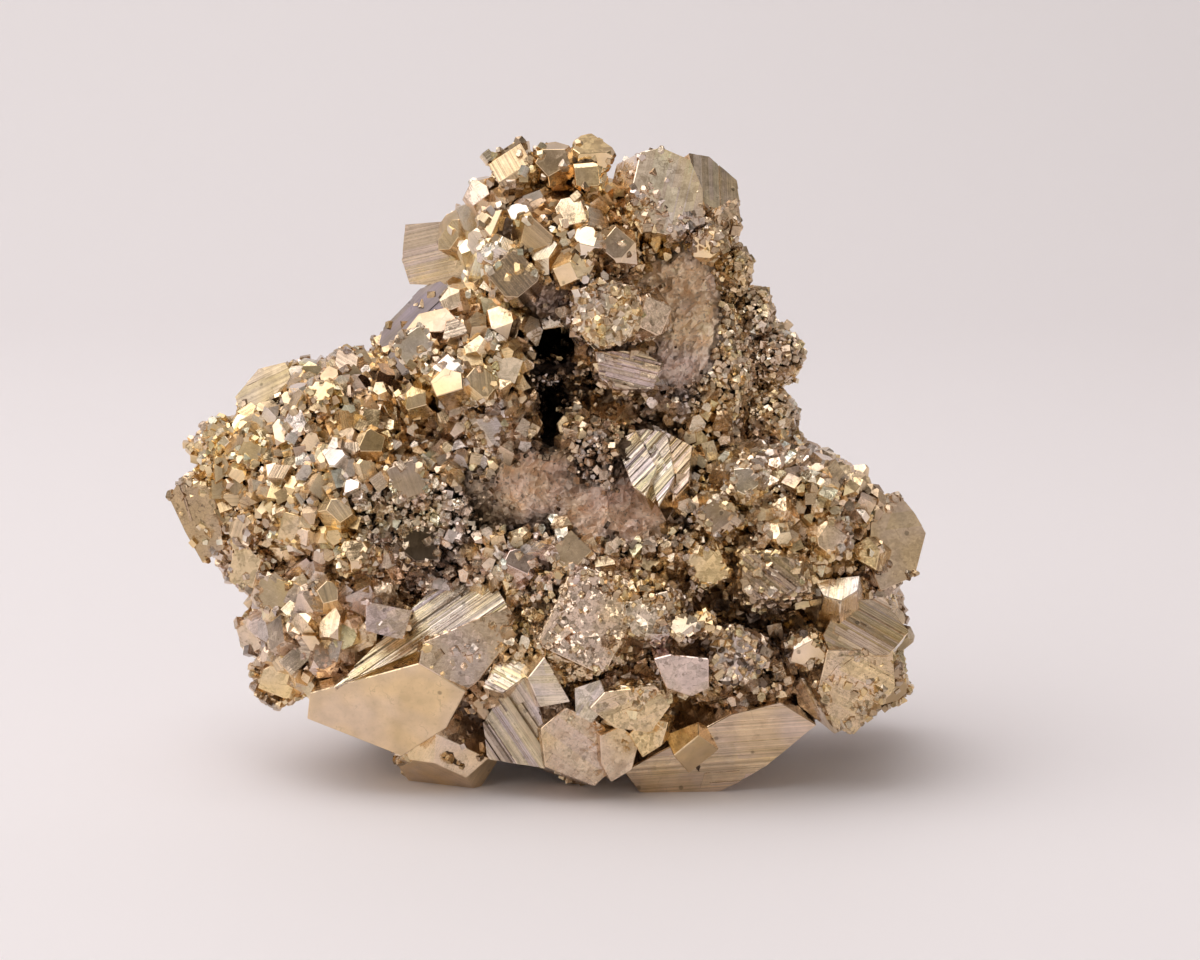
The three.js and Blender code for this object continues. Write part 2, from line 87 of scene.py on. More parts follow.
# Large crystals that show one broad face: its outline from the front as x,z pairs, its depth at the
# middle and the way it looks, then the crystal's thickness and the width of its back as a share of
# the face's. Then come the face's tone, the angle of its striations if they have one, how deep they
# are, how gritty the face is, the share of it under a crust of small crystals, and how far the back
# lies to one side, if it does.
BROAD = [
    # crown
    ("11.5,78 14,78.5 17.5,77 19,73.5 19,69.5 15.5,68 11.5,69 10.5,74",
     -6, (0.15, -0.95, 0.25), 10, 1.1, "bright", 75, 0.2, 0.12, 0.02, (-1, 0, 0)),
    ("17.5,77.5 20,77 23.5,74 24,71 20.5,69 19,72",
     1, (0.45, -0.8, 0.35), 8, 0.95, "bright", 80, 0.3, 0.05, 0.0),
    ("20.5,70.5 23.5,71.5 24,68.5 23,66.5 20.5,67",
     -2, (0.2, -0.97, 0), 6, 0.95, "brown", None, 0.2, 0.5, 0.2),
    ("-18,68 -13.5,68.5 -10.5,66 -10,61.5 -13.5,60.5 -17.5,60.5 -18.5,63.5",
     8, (-0.35, -0.93, 0.05), 9, 0.9, "tan", 12, 0.6, 0.1, 0.0),
    # middle
    ("3.5,62 6.5,63 10,62 11.5,59.5 10,56.5 6.5,55.5 3.5,57.5",
     -13, (-0.1, -0.98, 0.1), 7, 1.15, "pale", None, 0.1, 1.0, 0.5),
    ("6,54.5 11.5,54.5 14,53 13,50 8.5,50 6.5,51.5",
     -11, (0.05, -0.97, 0.2), 6, 1.1, "pink", -14, 1.0, 0.4, 0.05),
    ("-2.5,60 0,63 2.5,61.5 2,57 -1.5,56.5",
     -7, (0.1, -0.98, 0.1), 6, 1.1, "pale", None, 0.0, 0.25, 0.0),
    ("8,43.5 12.5,44.5 15,40 13,36.5 10.5,39",
     -10, (-0.35, -0.75, 0.5), 5, 1, "pale", 58, 1.0, 0.05, 0.02),
    ("13.5,44.5 18,42.5 17,38.5 14.5,36 13.5,39.5",
     -9, (-0.35, -0.8, 0.45), 5, 1, "pale", 58, 1.0, 0.1, 0.02),
    # ridge and left arm
    ("-20.5,54.5 -20,56.5 -15.5,61 -13,62 -9.5,60 -9,55 -17.5,51",
     -4, (-0.3, -0.8, 0.5), 8, 1, "mauve", 48, 0.3, 0.0, 0.02, (2, 0, -1)),
    ("-39.5,46.5 -36.5,50 -33,51 -31,48.5 -32.5,44.5 -38.5,44.5",
     4, (-0.4, -0.75, 0.5), 8, 0.95, "olive", 18, 0.6, 0.1, 0.0),
    ("-47.5,34.5 -45.5,37.5 -41.5,36 -40.5,28.5 -43.5,26 -45.5,30",
     0, (-0.35, -0.9, -0.2), 8, 0.9, "brown", None, 0.1, 0.6, 0.03, (1, 0, 0)),
    # right side
    ("40,34.5 43.5,36 45.5,33.5 47,31 45.5,26 41,24.5 39.5,28.5",
     -6, (0.35, -0.9, 0.25), 9, 0.85, "honey", None, 0.1, 0.2, 0.0, (-1, 0, 0)),
    ("37,30.5 39,32 40.5,30.5 40,28 38,29",
     -12, (-0.3, -0.93, 0.2), 7, 1.1, "gold", None, 0.0, 0.3, 0.02),
    ("32.5,27 38,27.5 37.5,26 35.5,25 33.5,25.5",
     -15, (0, -0.7, 0.7), 5, 1.4, "pale", 84, 0.5, 0.1, 0.0, (0, 0, -1)),
    ("23.5,31.5 29.5,31 30.5,27.5 25,26 23.5,27",
     -20, (-0.1, -0.98, 0.12), 7, 1.55, "brown", -38, 1.0, 0.5, 0.06, (0, 0, -1)),
    ("34,19 42,18.5 42.5,13.5 37.5,8 35,9 33,14",
     -15, (0.25, -0.95, -0.1), 10, 1.3, "tan", -30, 0.5, 0.6, 0.03, (-1, 0, 2)),
    # foot of the front
    ("9.5,3 17.5,6.5 22.5,10.5 28.5,12 33,9 27,3.5 21.5,0 16.5,-0.5 11.5,0",
     -13, (0.05, -0.97, -0.25), 14, 0.95, "tan", 3, 0.8, 0.15, 0.0, (0, 0, 1)),
    ("14.5,8 18.5,10 18.5,8.5 15.5,6",
     -16, (-0.45, -0.7, 0.55), 5, 1.2, "gold", None, 0.0, 0.1, 0.03),
    ("-0.5,10 2.5,12.5 7,10 10,6 6,2 0,5",
     -17.5, (0.25, -0.95, -0.15), 9, 1, "tan", -40, 0.2, 0.6, 0.03, (0, 0, -3.5)),
    ("-4.5,15 -2,16 0,9.5 0,4.5 -7,5 -7.5,9.5",
     -16, (-0.35, -0.93, -0.05), 9, 1, "grey", -52, 1.0, 0.2, 0.0, (2, 0, -2)),
    ("-7.5,14.5 -6,17.5 -4.5,19.5 -0.5,18 -2,16 -5,14",
     -16, (-0.1, -0.8, 0.55), 6, 1, "pale", -35, 1.0, 0.1, 0.0),
    ("-2,16.5 0,19 3,13.5 -0.5,13",
     -20, (0.15, -0.95, 0.1), 5, 1.3, "pale", None, 0.3, 0.1, 0.0),
    ("13,19 15,19.5 19.5,19 19.5,15.5 17.5,14.5 14.5,15.5",
     -21, (0, -0.99, 0.1), 6, 1.2, "pink", None, 0.0, 0.12, 0.0, (0, 0, 1.5)),
    ("20,21.5 23.5,22 26.5,20.5 26.5,18 24.5,16 21,16 19.5,18.5",
     -19, (0.1, -0.95, 0.2), 6, 1.1, "grey", None, 0.2, 1.0, 0.5),
    ("6.5,13.5 9,15.5 13,15 10.5,11 7.5,11",
     -20, (-0.1, -0.95, 0.1), 6, 1.1, "pale", None, 0.2, 0.8, 0.3),
    # lower left
    ("-28.5,13.5 -18.5,16.5 -15,18 -9.5,14.5 -12,9.5 -17.5,5.5 -29,10",
     -17, (-0.15, -0.95, -0.25), 9, 1.05, "face", None, 0.0, 0.15, 0.0, (2, 0, 2)),
    ("-14.5,20.5 -4.5,24 -3.5,22.5 -5.5,18.5 -8,15.5 -9.5,14.5 -15,18",
     -17, (0.3, -0.92, 0.25), 8, 1, "pink", None, 0.0, 0.3, 0.03),
    ("-12,27 -6.5,27 -4.5,24 -14.5,19 -25.5,14.5",
     -14, (-0.2, -0.75, 0.62), 8, 1, "pale", 43, 1.0, 0.15, 0.01),
    ("-21.5,25 -16,24 -17,20.5 -21.5,21.5",
     -17, (-0.05, -0.98, 0.15), 6, 0.9, "pink", 22, 0.35, 0.2, 0.01),
]
# The other large crystals: habit, middle, size, the way the main face looks and its turn, and for
# some the tone, the depth of the striations and how gritty they are.
CRYSTALS = """
# crown
cube -3.5,-3,75.5 2.4 -0.35,-0.8,0.5 15
pyrito 1,-4,76.5 2.4 0,-0.98,0.2 30
octa 5.3,-2,77 2.3 0.1,-0.5,0.85 0
cube 5,-5,75 1.5 0.05,-0.95,0.3 8
pyrito -7.5,-2,72.5 2.2 -0.3,-0.9,0.3 20
octa -6,-8,69.5 1.8 -0.3,-0.85,0.4 40
octa -1.5,-9,68.5 2.2 0.2,-0.96,-0.1 15
cube 3,-9,70.5 1.8 0.1,-0.8,0.55 20
cubo 5,-10,67.5 1.8 0,-0.8,0.55 30
octa -5.5,-9,66 2.1 -0.1,-0.95,-0.2 70
cube -3.5,-11,63 2.4 -0.1,-0.9,0.3 35
cubo -10.5,4,67 2.6 -0.6,-0.7,0.1 10
cubo 8.5,-8,66.5 2.3 0,-0.95,0.3 5
cubo 3.5,-10,64 2.2 -0.3,-0.9,-0.1 50
cubo 12,-9,58.5 2.6 0.25,-0.95,0.1 35 pink 0.3 0.6
cubo 19.5,-4,67 2 0,-0.95,-0.2 40
# ridge
pyrito -10.5,-7,60 1.9 -0.4,-0.85,0.2 0
cube -11.5,-12,52 1.9 -0.1,-0.8,0.6 40
cubo -8,-12,50.5 2 0.2,-0.9,0.3 15
cube -6,-8,52.5 2.6 0.75,-0.62,-0.1 25
cube -15.5,-10,55 2 -0.1,-0.95,0.2 30
pyrito -15.5,-7,48 2.2 -0.1,-0.95,0.2 10
octa -7,-10.5,45 2 0.1,-0.95,0.1 55
# left arm
cube -41,1,41 2.5 -0.4,-0.88,0.15 20
octa -25,0,50.5 2.3 0,-0.7,0.7 10
pyrito -25,-12.5,35.5 2.6 0.2,-0.95,0.2 45
octa -23,-13.5,30 2 0,-0.85,0.5 50
cube -30,-8,45 1.6 -0.1,-0.9,0.4 20
cube -36,-3.5,41 1.7 -0.3,-0.9,0.2 50
octa -37,-5,32 2 -0.4,-0.9,0 30
cube -31,-10,33 1.8 -0.2,-0.95,0.1 65
pyrito -21,-10,43 2 0,-0.95,0.3 0
cube -16.5,-11.5,39 2.1 0.1,-0.97,0.2 25
octa -27,-8,48.5 1.7 0,-0.8,0.6 45
cube -15,-13,31 2 0.1,-0.9,0.4 10
# lower left
cubo -33,-5,13 3 -0.2,-0.95,0.1 15
cubo -35.5,-2,18 2.6 -0.6,-0.75,0.1 35
octa -28.5,-11,19 2.4 -0.1,-0.95,0.2 35
cube -33,-8,24 2 -0.3,-0.9,0.2 60
pyrito -26,-12.5,25 2.2 0,-0.95,0.3 15
# vug
pyrito 7.5,-4,45 3.6 -0.2,-0.95,-0.2 10
cubo -3,-13,29 2.4 0,-0.9,0.4 20
cube 3,-15,30 2 0.1,-0.9,0.4 50
# right side
cube 21,-15,35 1.9 -0.1,-0.98,0.2 32
cubo 34,-13,32 2.3 0.2,-0.95,0.1 20
octa 24,-14,39 2 0,-0.9,0.4 20
cube 20,-14,29 2.2 -0.2,-0.95,0.1 15
cubo 31.5,-15,19 2 -0.2,-0.97,0 20
cubo 42.5,12,17.5 3 0.7,-0.7,0 15
octa 42.5,13,10.5 3 0.6,-0.7,-0.2 20
# foot of the front
cubo -12.4,-7.3,5.3 5.3 -0.25,-0.6,-0.75 20 tan 0.2 0.15
cubo 5,-13.5,22.5 6.4 0,-0.95,0.25 20 tan 0.2 1.0
cubo 12.5,-16.5,24 3.5 0,-0.95,0.25 60 grey 0.1 1.0
cube 16.5,-20,22.5 1.2 -0.2,-0.8,0.5 30
cube 19,-19,22.5 1.2 -0.4,-0.75,0.5 10
# back and sides
cubo -18,18,23 6 -0.3,0.94,-0.1 30
octa 2,21,27 6 0.05,0.98,-0.15 10
cube 17,19.5,37 5 0.3,0.9,0.25 25
pyrito -9,20.5,43 5.2 -0.2,0.93,0.3 50
cubo 8,18,58 4.8 0.2,0.93,0.3 15
octa -5,10,70 3.6 -0.3,0.8,0.5 35
cube 14.5,11,71.5 3.4 0.3,0.8,0.5 10
cube 31,13,25 5.5 0.5,0.85,-0.1 40
octa 31,12,35 4.4 0.6,0.7,0.4 0
pyrito -30,15,33 5.2 -0.5,0.85,0 20
cube -38,9,28 4 -0.8,0.5,-0.3 45
cube -23,15,45 4.4 -0.3,0.8,0.5 35
cubo -19,10,51 3.2 -0.2,0.6,0.75 20
octa -31,8,48 2.6 -0.4,0.4,0.8 60
cube 26,13,51 3.8 0.85,0.5,0.15 30
cube 20.5,12,60 3 0.75,0.55,0.35 5
cube 41.5,5,25 3 0.95,0.1,-0.2 25
octa 5,6,74.5 2.2 0,0.5,0.85 25
# rear feet
cubo -17,14,6.3 6.6 -0.1,0.1,-1 20
pyrito 19,16,6.2 6.4 0.05,0.05,-1 35
octa 2,18,9.5 6 0.1,0.8,-0.6 40
# notch under the left arm, and low behind the right side
cube -36,-1,26 2.6 -0.5,-0.8,0.1 40
octa 41.5,5,10 3.6 0.5,-0.8,-0.3 25
"""

# Thin plates and faces that lie on the large crystals, in the same form.
PLATES = [
    ("8.5,43 11,44.3 13.5,40.5 12,37.5 10.5,38.5",
     -11.5, (-0.22, -0.75, 0.62), 4, 1, "pale", 58, 1.0, 0.05, 0.0),
    ("12,44.5 14.8,44 15.6,39.5 13.6,36.2 12.8,39.5",
     -11, (-0.26, -0.75, 0.6), 4, 1, "pale", 60, 1.0, 0.05, 0.0),
    ("15.2,43.8 17.8,42.6 17.3,38.5 15.3,36.5",
     -10.5, (-0.2, -0.8, 0.55), 4, 1, "tan", 57, 1.0, 0.05, 0.0),
    ("33.5,20.5 35.5,24 41,24.5 44,20.5 41.5,18 34.5,18",
     -14, (0.12, -0.88, 0.42), 6, 1.1, "tan", -32, 1.0, 0.1, 0.0),
    ("-17.2,56.5 -15.3,58.8 -12,59.6 -10.2,58 -12.5,56.8",
     -9.5, (-0.2, -0.8, 0.56), 5, 1, "brown", None, 0.0, 0.1, 0.0),
    ("-13.6,51.5 -12.8,49.8 -9.6,50.8 -9.8,52.6 -12,53",
     -15.6, (-0.2, -0.85, 0.48), 5, 1, "honey", None, 0.0, 0.1, 0.0),
    ("30.3,14.7 33.5,14 36.4,9 35.2,8.1 30.9,11",
     -13.5, (-0.6, -0.78, -0.15), 5, 1, "grey", -50, 0.3, 0.1, 0.0),
    ("5.4,13 7.2,14.9 13.2,15.5 15,13 12.6,9.9 8.4,10.5",
     -20.4, (0.1, -0.96, 0.1), 5, 1, "tan", 20, 0.2, 0.5, 0.0),
    ("3.6,14.9 6.6,16.1 7.6,13.6 5.6,10.9 3.7,11.8",
     -19.6, (-0.25, -0.93, 0.15), 5, 1, "pale", 60, 0.4, 0.2, 0.0),
    ("10,9 12.6,11.1 14.8,10.7 14,7.8 11.7,6.2",
     -18.3, (-0.2, -0.95, 0.1), 5, 1, "gold", None, 0.0, 0.5, 0.0),
    ("6.6,9 9.2,9.9 11.4,7.8 10.5,4.1 8,2.8 6.8,5.3",
     -17.4, (0.35, -0.9, -0.1), 5, 1, "tan", None, 0.0, 0.5, 0.0),
]

# Areas of the druse as seen from the front: centre and radii in x and z, then the smallest and
# largest crystal, the share of the surface covered, the tones and how gritty the crystals are. The
# last two are for the rest of the surface, behind and in front.
AREAS = [
    ((0, 72), (12, 9), (0.5, 2.0), 1.0, "gold tan pale gold pale amber", 0.05),
    ((9, 69), (5, 6), (0.2, 0.6), 1.0, "gold tan brown", 0.3),
    ((17, 73), (8, 5), (0.2, 0.6), 0.7, "tan brown grey", 0.3),
    ((-9, 55), (7, 7), (0.3, 1.5), 1.0, "gold pale tan pale amber", 0.15),
    ((-7, 45), (6, 5), (0.3, 1.2), 1.0, "gold tan brown grey", 0.3),
    ((-30, 44), (16, 8), (0.3, 1.2), 1.0, "gold tan pale pale amber brown gold", 0.1),
    ((-32, 33), (13, 7), (0.25, 1.2), 1.0, "gold amber tan pale gold brown", 0.1),
    ((-17, 34.5), (8, 4.5), (0.2, 0.6), 1.0, "pale pale pink grey", 0.7),
    ((-12, 29), (6, 4), (0.2, 0.9), 0.8, "grey dark tan brown", 0.5),
    ((-30, 19), (10, 9), (0.3, 1.6), 1.0, "tan grey pink gold tan", 0.25),
    ((-3, 38), (7, 6), (0.12, 0.35), 0.07, "brown dark", 0.4),
    ((9, 34), (8, 4), (0.12, 0.35), 0.08, "brown dark", 0.4),
    ((2, 49.5), (6, 3), (0.15, 0.45), 0.95, "brown grey dark tan", 0.4),
    ((0, 62), (4, 4), (0.15, 0.5), 0.3, "pink brown", 0.4),
    ((17, 57), (4, 9), (0.12, 0.35), 0.3, "brown dark grey", 0.5),
    ((27, 53), (7, 15), (0.17, 0.5), 1.0, "tan gold tan pale brown", 0.35),
    ((10, 42), (7, 4), (0.15, 0.5), 0.6, "tan grey brown", 0.3),
    ((24, 40), (8, 5), (0.2, 1.1), 1.0, "tan gold grey brown pale", 0.25),
    ((35, 34), (8, 6), (0.2, 1.1), 1.0, "gold tan brown pale", 0.25),
    ((-2, 29), (9, 3), (0.25, 1.1), 1.0, "pink tan gold pale", 0.3),
    ((12, 29), (8, 3), (0.2, 0.9), 1.0, "tan gold brown", 0.3),
    ((5, 21), (9, 6), (0.2, 0.6), 0.2, "tan gold brown", 0.8),
    ((27, 19), (9, 6), (0.2, 0.9), 1.0, "brown tan dark gold", 0.3),
    ((-5, 15), (5, 5), (0.3, 0.8), 0.6, "tan pale brown", 0.3),
    ((10, 9), (6, 5), (0.3, 1.2), 0.7, "tan brown gold", 0.3),
]
BACK_AREA = ((0, 0), (1, 1), (0.4, 2.0), 1.0, "tan gold brown grey olive", 0.2)
FRONT_AREA = ((0, 0), (1, 1), (0.25, 0.9), 1.0, "tan gold brown grey", 0.3)
ALL_AREAS = [*AREAS, BACK_AREA, FRONT_AREA]
# Where the body itself shows: centre, radii, tone and dullness.
BARE = [
    ((-4, -6, 38), (8.5, 10, 7.5), (0.92, 0.74, 0.58), 0.8),
    ((9, -7, 34), (9, 10, 5), (0.92, 0.74, 0.58), 0.8),
    ((16, -4, 57), (6.5, 10, 9.5), (0.97, 0.81, 0.66), 0.75),
    ((0, -4, 62), (5, 8, 5), (0.80, 0.62, 0.50), 0.5),
]
# Where the body's painted shade under its crystals is lighter, in the same form.
LIGHTER = [((7, -14, 17), (15, 12, 12), (0.50, 0.38, 0.26), 0.4)]
# The two dark holes: centre and radii.
HOLES = [((-0.2, 1, 54.2), (5.9, 14, 4.8)), ((0.8, 0, 44.8), (2.9, 12, 4.8))]
# Where a crust of small crystals runs over the large ones: centre, radii and share.
CRUSTS = [
    ((12.2, 71.2), (2.4, 2.8), 0.9),
    ((19, 68.5), (4.5, 2.5), 0.8),
    ((28, 54), (6, 16), 0.9),
    ((25.5, 30.5), (2.5, 1.8), 0.4),
    ((40, 36), (4, 2.5), 0.6),
    ((39.5, 12), (2.5, 3), 0.4),
    ((46, 20), (3, 7), 0.8),
    ((-9.5, 18.5), (1.6, 1.2), 0.5),
    ((-44, 40), (4, 4), 0.6),
    ((-35, 45), (4, 1.5), 0.3),
]
# Where no small crystals grow in front of a large one: centre and radii in x and z.
CLEAR = [
    ((13.5, 40.5), (5.5, 5.5)),
    ((-0.3, 59.5), (2.6, 3)),
    ((-36, 48), (4.5, 2.5)),
    ((-12, 5), (7, 7)),
    ((17, 4), (11, 6)),
    ((0, 8), (8, 7)),
]


def rows(table):
    """A text table's rows, with points as tuples, numbers as floats and names as they are."""

    def value(word):
        if "," in word:
            return tuple(map(float, word.split(",")))
        return word if word[0].isalpha() else float(word)

    lines = (line.split() for line in table.splitlines() if line and line[0] != "#")
    return [[value(word) for word in line] for line in lines]


def unit(v):
    v = np.asarray(v, float)
    return v / np.linalg.norm(v)


# --- crystals as bodies between planes ---


def directions(*indices):
    """The ways all the faces of a form look, from one face's indices."""
    found = []
    for x, y, z in indices:
        for sx in (1, -1) if x else (1,):
            for sy in (1, -1) if y else (1,):
                for sz in (1, -1) if z else (1,):
                    found.append(unit((x * sx, y * sy, z * sz)))
    return found


CUBE = directions((1, 0, 0), (0, 1, 0), (0, 0, 1))
OCTAHEDRON = directions((1, 1, 1))
PYRITOHEDRON = directions((0, 1, 2), (1, 2, 0), (2, 0, 1))
# Each habit's forms with their distances, and its main face. cubo is a cube with cut corners.
HABITS = {
    "cube": ([(CUBE, 1.0)], CUBE[4]),
    "octa": ([(OCTAHEDRON, 1.0), (CUBE, 1.3)], OCTAHEDRON[0]),
    "pyrito": ([(PYRITOHEDRON, 1.0)], PYRITOHEDRON[0]),
    "cubo": ([(CUBE, 1.0), (OCTAHEDRON, 1.2)], CUBE[4]),
}


def polyhedron(normals, far):
    """The corners and faces of the convex body that the planes enclose."""
    corners = []
    for i, j, k in combinations(range(len(normals)), 3):
        m = normals[[i, j, k]]
        if abs(np.linalg.det(m)) < 1e-5:
            continue
        p = np.linalg.solve(m, far[[i, j, k]])
        if (normals @ p <= far + 1e-5).all():
            if all(np.abs(p - q).max() > 1e-3 for q in corners):
                corners.append(p)
    v = np.array(corners)
    faces = []
    for n, d in zip(normals, far):
        on = np.where(np.abs(v @ n - d) < 1e-3)[0]
        if len(on) < 3:
            continue
        middle = v[on].mean(0)
        u = unit(v[on[0]] - middle)
        w = np.cross(n, u)
        turn = np.arctan2((v[on] - middle) @ w, (v[on] - middle) @ u)
        faces.append(on[np.argsort(turn)])
    return v, faces


def grounded(normals, far):
    """Adds the surface that the specimen stands on to the planes."""
    return np.vstack([normals, (0, 0, -1)]), np.append(far, 0.0)


def crystal_planes(index, habit, at, size, face, spin):
    """A crystal's planes as the ways they look and their distances, and its axes."""
    forms, main = HABITS[habit]
    local = np.array([n for normals, _ in forms for n in normals])
    far = np.array([d for normals, d in forms for _ in normals]) * size
    wobble = np.sin(12.9898 * (index + 1) + 78.233 * (np.arange(len(far)) + 1))
    far = far * (1 + CRYSTAL_WOBBLE * wobble)
    up = Vector((0, 0, 1))
    aimed = up.rotation_difference(Vector(face).normalized())
    turned = Quaternion(up, math.radians(spin))
    upright = Vector(main).rotation_difference(up)
    turn = np.array((aimed @ turned @ upright).to_matrix())
    normals = local @ turn.T
    place = np.array(at, float) + (0, CENTRING, 0)
    return normals, far + normals @ place, turn


def with_cut_corners(normals, far, axes, place, cuts):
    """Takes small facets off a crystal's edges and corners, so that it looks less regular."""
    v, _ = polyhedron(normals, far)
    ways = np.array(OCTAHEDRON + PYRITOHEDRON + directions((0, 1, 1))) @ axes.T
    ways = ways[rng.choice(len(ways), cuts, replace=False)]
    reach = ((v - place) @ ways.T).max(0)
    at = ways @ place + reach * rng.uniform(0.78, 0.95, cuts)
    return np.vstack([normals, ways]), np.append(far, at)


def hull_order(points):
    """The outline's outer corners in order, anticlockwise in (x, z)."""
    pts = sorted(set(map(tuple, points)))

    def half(seq):
        out = []
        for p in seq:
            while len(out) > 1:
                (ax, az), (bx, bz) = out[-2], out[-1]
                if (bx - ax) * (p[1] - az) - (bz - az) * (p[0] - ax) > 0:
                    break
                out.pop()
            out.append(p)
        return out[:-1]

    return half(pts) + half(pts[::-1])


def broad_planes(outline, depth, face, thick, spread, lean=(0, 0, 0)):
    """The planes round a body behind an outline seen from the front."""
    n = unit(face)
    mid = np.mean(outline, axis=0)
    centre = np.array((mid[0], depth + CENTRING, mid[1]))
    front = []
    for x, z in hull_order(outline):
        y = centre[1] - (n[0] * (x - mid[0]) + n[2] * (z - mid[1])) / n[1]
        front.append((x, y, z))
    front = np.array(front)
    away = np.array(lean, float) - n * thick
    back = centre + (front - centre) * spread + away
    normals, far = [n], [n @ front[0]]
    for i in range(len(front)):
        a, b = front[i - 1], front[i]
        side = unit(np.cross(b - a, back[i] - b))
        if side @ (a - (front.mean(0) + back.mean(0)) / 2) < 0:
            side = -side
        normals.append(side)
        far.append(side @ a)
    normals.append(-n)
    far.append(-n @ back[0])
    return np.array(normals), np.array(far)


# --- collecting faces into one mesh ---


def read(items, key, width=3, kind=float):
    """One property of all the items, as rows of numbers."""
    data = np.empty(len(items) * width, kind)
    items.foreach_get(key, data)
    return data.reshape(-1, width) if width > 1 else data


def store(me, name, domain, values):
    """Keeps a number, or a colour of three numbers, for each face or corner."""
    if values.ndim > 1:
        rgba = np.column_stack([values, np.ones(len(values))])
        me.attributes.new(name, "FLOAT_COLOR", domain).data.foreach_set("color", rgba.ravel())
    else:
        data = values.astype(np.float32)
        me.attributes.new(name, "FLOAT", domain).data.foreach_set("value", data)


def store_bake_map(me, u, v):
    """Keeps the map that looks are baked through."""
    layer = me.uv_layers.new(name="OFBake")
    layer.data.foreach_set("uv", np.stack([u, v], 1).astype(np.float32).ravel())


class Heap:
    """Faces gathered from many crystals, with their looks, made into one object."""

    def __init__(self):
        self.parts = []
        self.corners = 0
        self.cells = 0

    def add(self, verts, loops, sizes, tone, grit, lines, dull, along, cell, corner_crevice_shade=None):
        """verts (n, 3) in mm and loops as indices. Every face has a size, a look and its cell of
        the bake map, and each of its corners has its place across the striations and, in the last
        argument, how much painted shade darkens it where it goes down into a gap."""
        corner_crevice_shade = np.ones(len(loops)) if corner_crevice_shade is None else corner_crevice_shade
        loops, cell = loops + self.corners, cell + self.cells
        self.parts.append((verts, loops, sizes, tone, grit, lines, dull, along, cell, corner_crevice_shade))
        self.corners += len(verts)
        self.cells = int(cell.max()) + 1

    def build(self, name, material):
        joined = [np.concatenate(column) for column in zip(*self.parts)]
        verts, loops, sizes, tone, grit, lines, dull, along, cell, corner_crevice_shade = joined
        starts = np.concatenate([[0], np.cumsum(sizes)[:-1]])
        me = bpy.data.meshes.new(name)
        me.vertices.add(len(verts))
        me.vertices.foreach_set("co", (verts * MM).ravel())
        me.loops.add(len(loops))
        me.loops.foreach_set("vertex_index", loops)
        me.polygons.add(len(sizes))
        me.polygons.foreach_set("loop_start", starts)
        me.polygons.foreach_set("loop_total", sizes)
        me.update(calc_edges=True)
        # The tone of each corner is darkened by the painted shade of the gaps.
        store(me, "tone", "CORNER", np.repeat(tone, sizes, axis=0) * corner_crevice_shade[:, None])
        store(me, "grit", "FACE", grit)
        store(me, "lines", "FACE", lines)
        store(me, "dull", "FACE", dull)
        store(me, "along", "CORNER", along)
        # Every large face or small crystal lies round the middle of its own square of the bake map.
        side = int(math.ceil(math.sqrt(cell.max() + 1)))
        cell = np.repeat(cell, sizes)
        place = np.arange(len(loops)) - np.repeat(starts, sizes)
        turn = 2 * math.pi * place / np.repeat(sizes, sizes)
        u = (cell % side + 0.5 + CELL_FILL * np.cos(turn)) / side
        v = (cell // side + 0.5 + CELL_FILL * np.sin(turn)) / side
        store_bake_map(me, u, v)
        me.validate()
        me.shade_flat()
        me.materials.append(material)
        obj = bpy.data.objects.new(name, me)
        bpy.context.collection.objects.link(obj)
        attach(obj, "root")


def across_of(n, axes):
    """The direction across a face's striations, from the crystal's axes."""
    main = int(np.argmax(np.abs(axes @ n)))
    a = axes[(main + 1) % 3]
    return unit(a - n * (a @ n))


def newell(points):
    nxt = np.roll(points, -1, axis=0)
    return unit(np.cross(points, nxt).sum(0))


def shade(tone, spread):
    """A tone a little lighter or darker, and a little warmer or cooler."""
    t = np.array(tone) * (1 + rng.uniform(-spread, spread))
    t[2] *= 1 + rng.uniform(-spread, spread)
    return np.clip(t, 0.02, BRIGHTEST)


def add_large(heap, normals, far, tone, across, lines, grit, dull, bevel):
    """Adds one large crystal with blunt edges. across(n) gives a face's striations."""
    v, faces = polyhedron(*grounded(normals, far))
    bm = bmesh.new()
    made = [bm.verts.new(p) for p in v]
    for f in faces:
        bm.faces.new([made[i] for i in f])
    bmesh.ops.bevel(bm, geom=bm.edges[:], offset=bevel, segments=1, affect="EDGES", profile=0.5)
    bmesh.ops.recalc_face_normals(bm, faces=bm.faces[:])
    bm.verts.index_update()
    verts = np.array([p.co[:] for p in bm.verts])
    loops, sizes, tones, grits, striae, along = [], [], [], [], [], []
    for f in bm.faces:
        idx = [p.index for p in f.verts]
        n = np.array(f.normal[:])
        flat = (np.abs(normals @ n - 1) < 1e-3).any()
        loops += idx
        sizes.append(len(idx))
        # The faces of the blunt edges are painted a little lighter, as a painted highlight along
        # the edges.
        tones.append(shade(tone, 0.06) if flat else np.minimum(np.array(tone) * 1.05, BRIGHTEST))
        grits.append(grit if flat else 0.1)
        striae.append(lines if flat else 0.0)
        along += list(verts[idx] @ across(n))
    bm.free()
    count = len(sizes)
    looks = [np.array(values) for values in (loops, sizes, tones, grits, striae)]
    heap.add(verts, *looks, np.full(count, dull), np.array(along), np.arange(count))
    return v, faces


def clip(points, n, d):
    """The part of a polygon where n·p <= d."""
    out = []
    for a, b in zip(points, np.roll(points, -1, axis=0)):
        da, db = n @ a - d, n @ b - d
        if da <= 0:
            out.append(a)
        if (da < 0 < db) or (db < 0 < da):
            out.append(a + (b - a) * da / (da - db))
    return np.array(out)


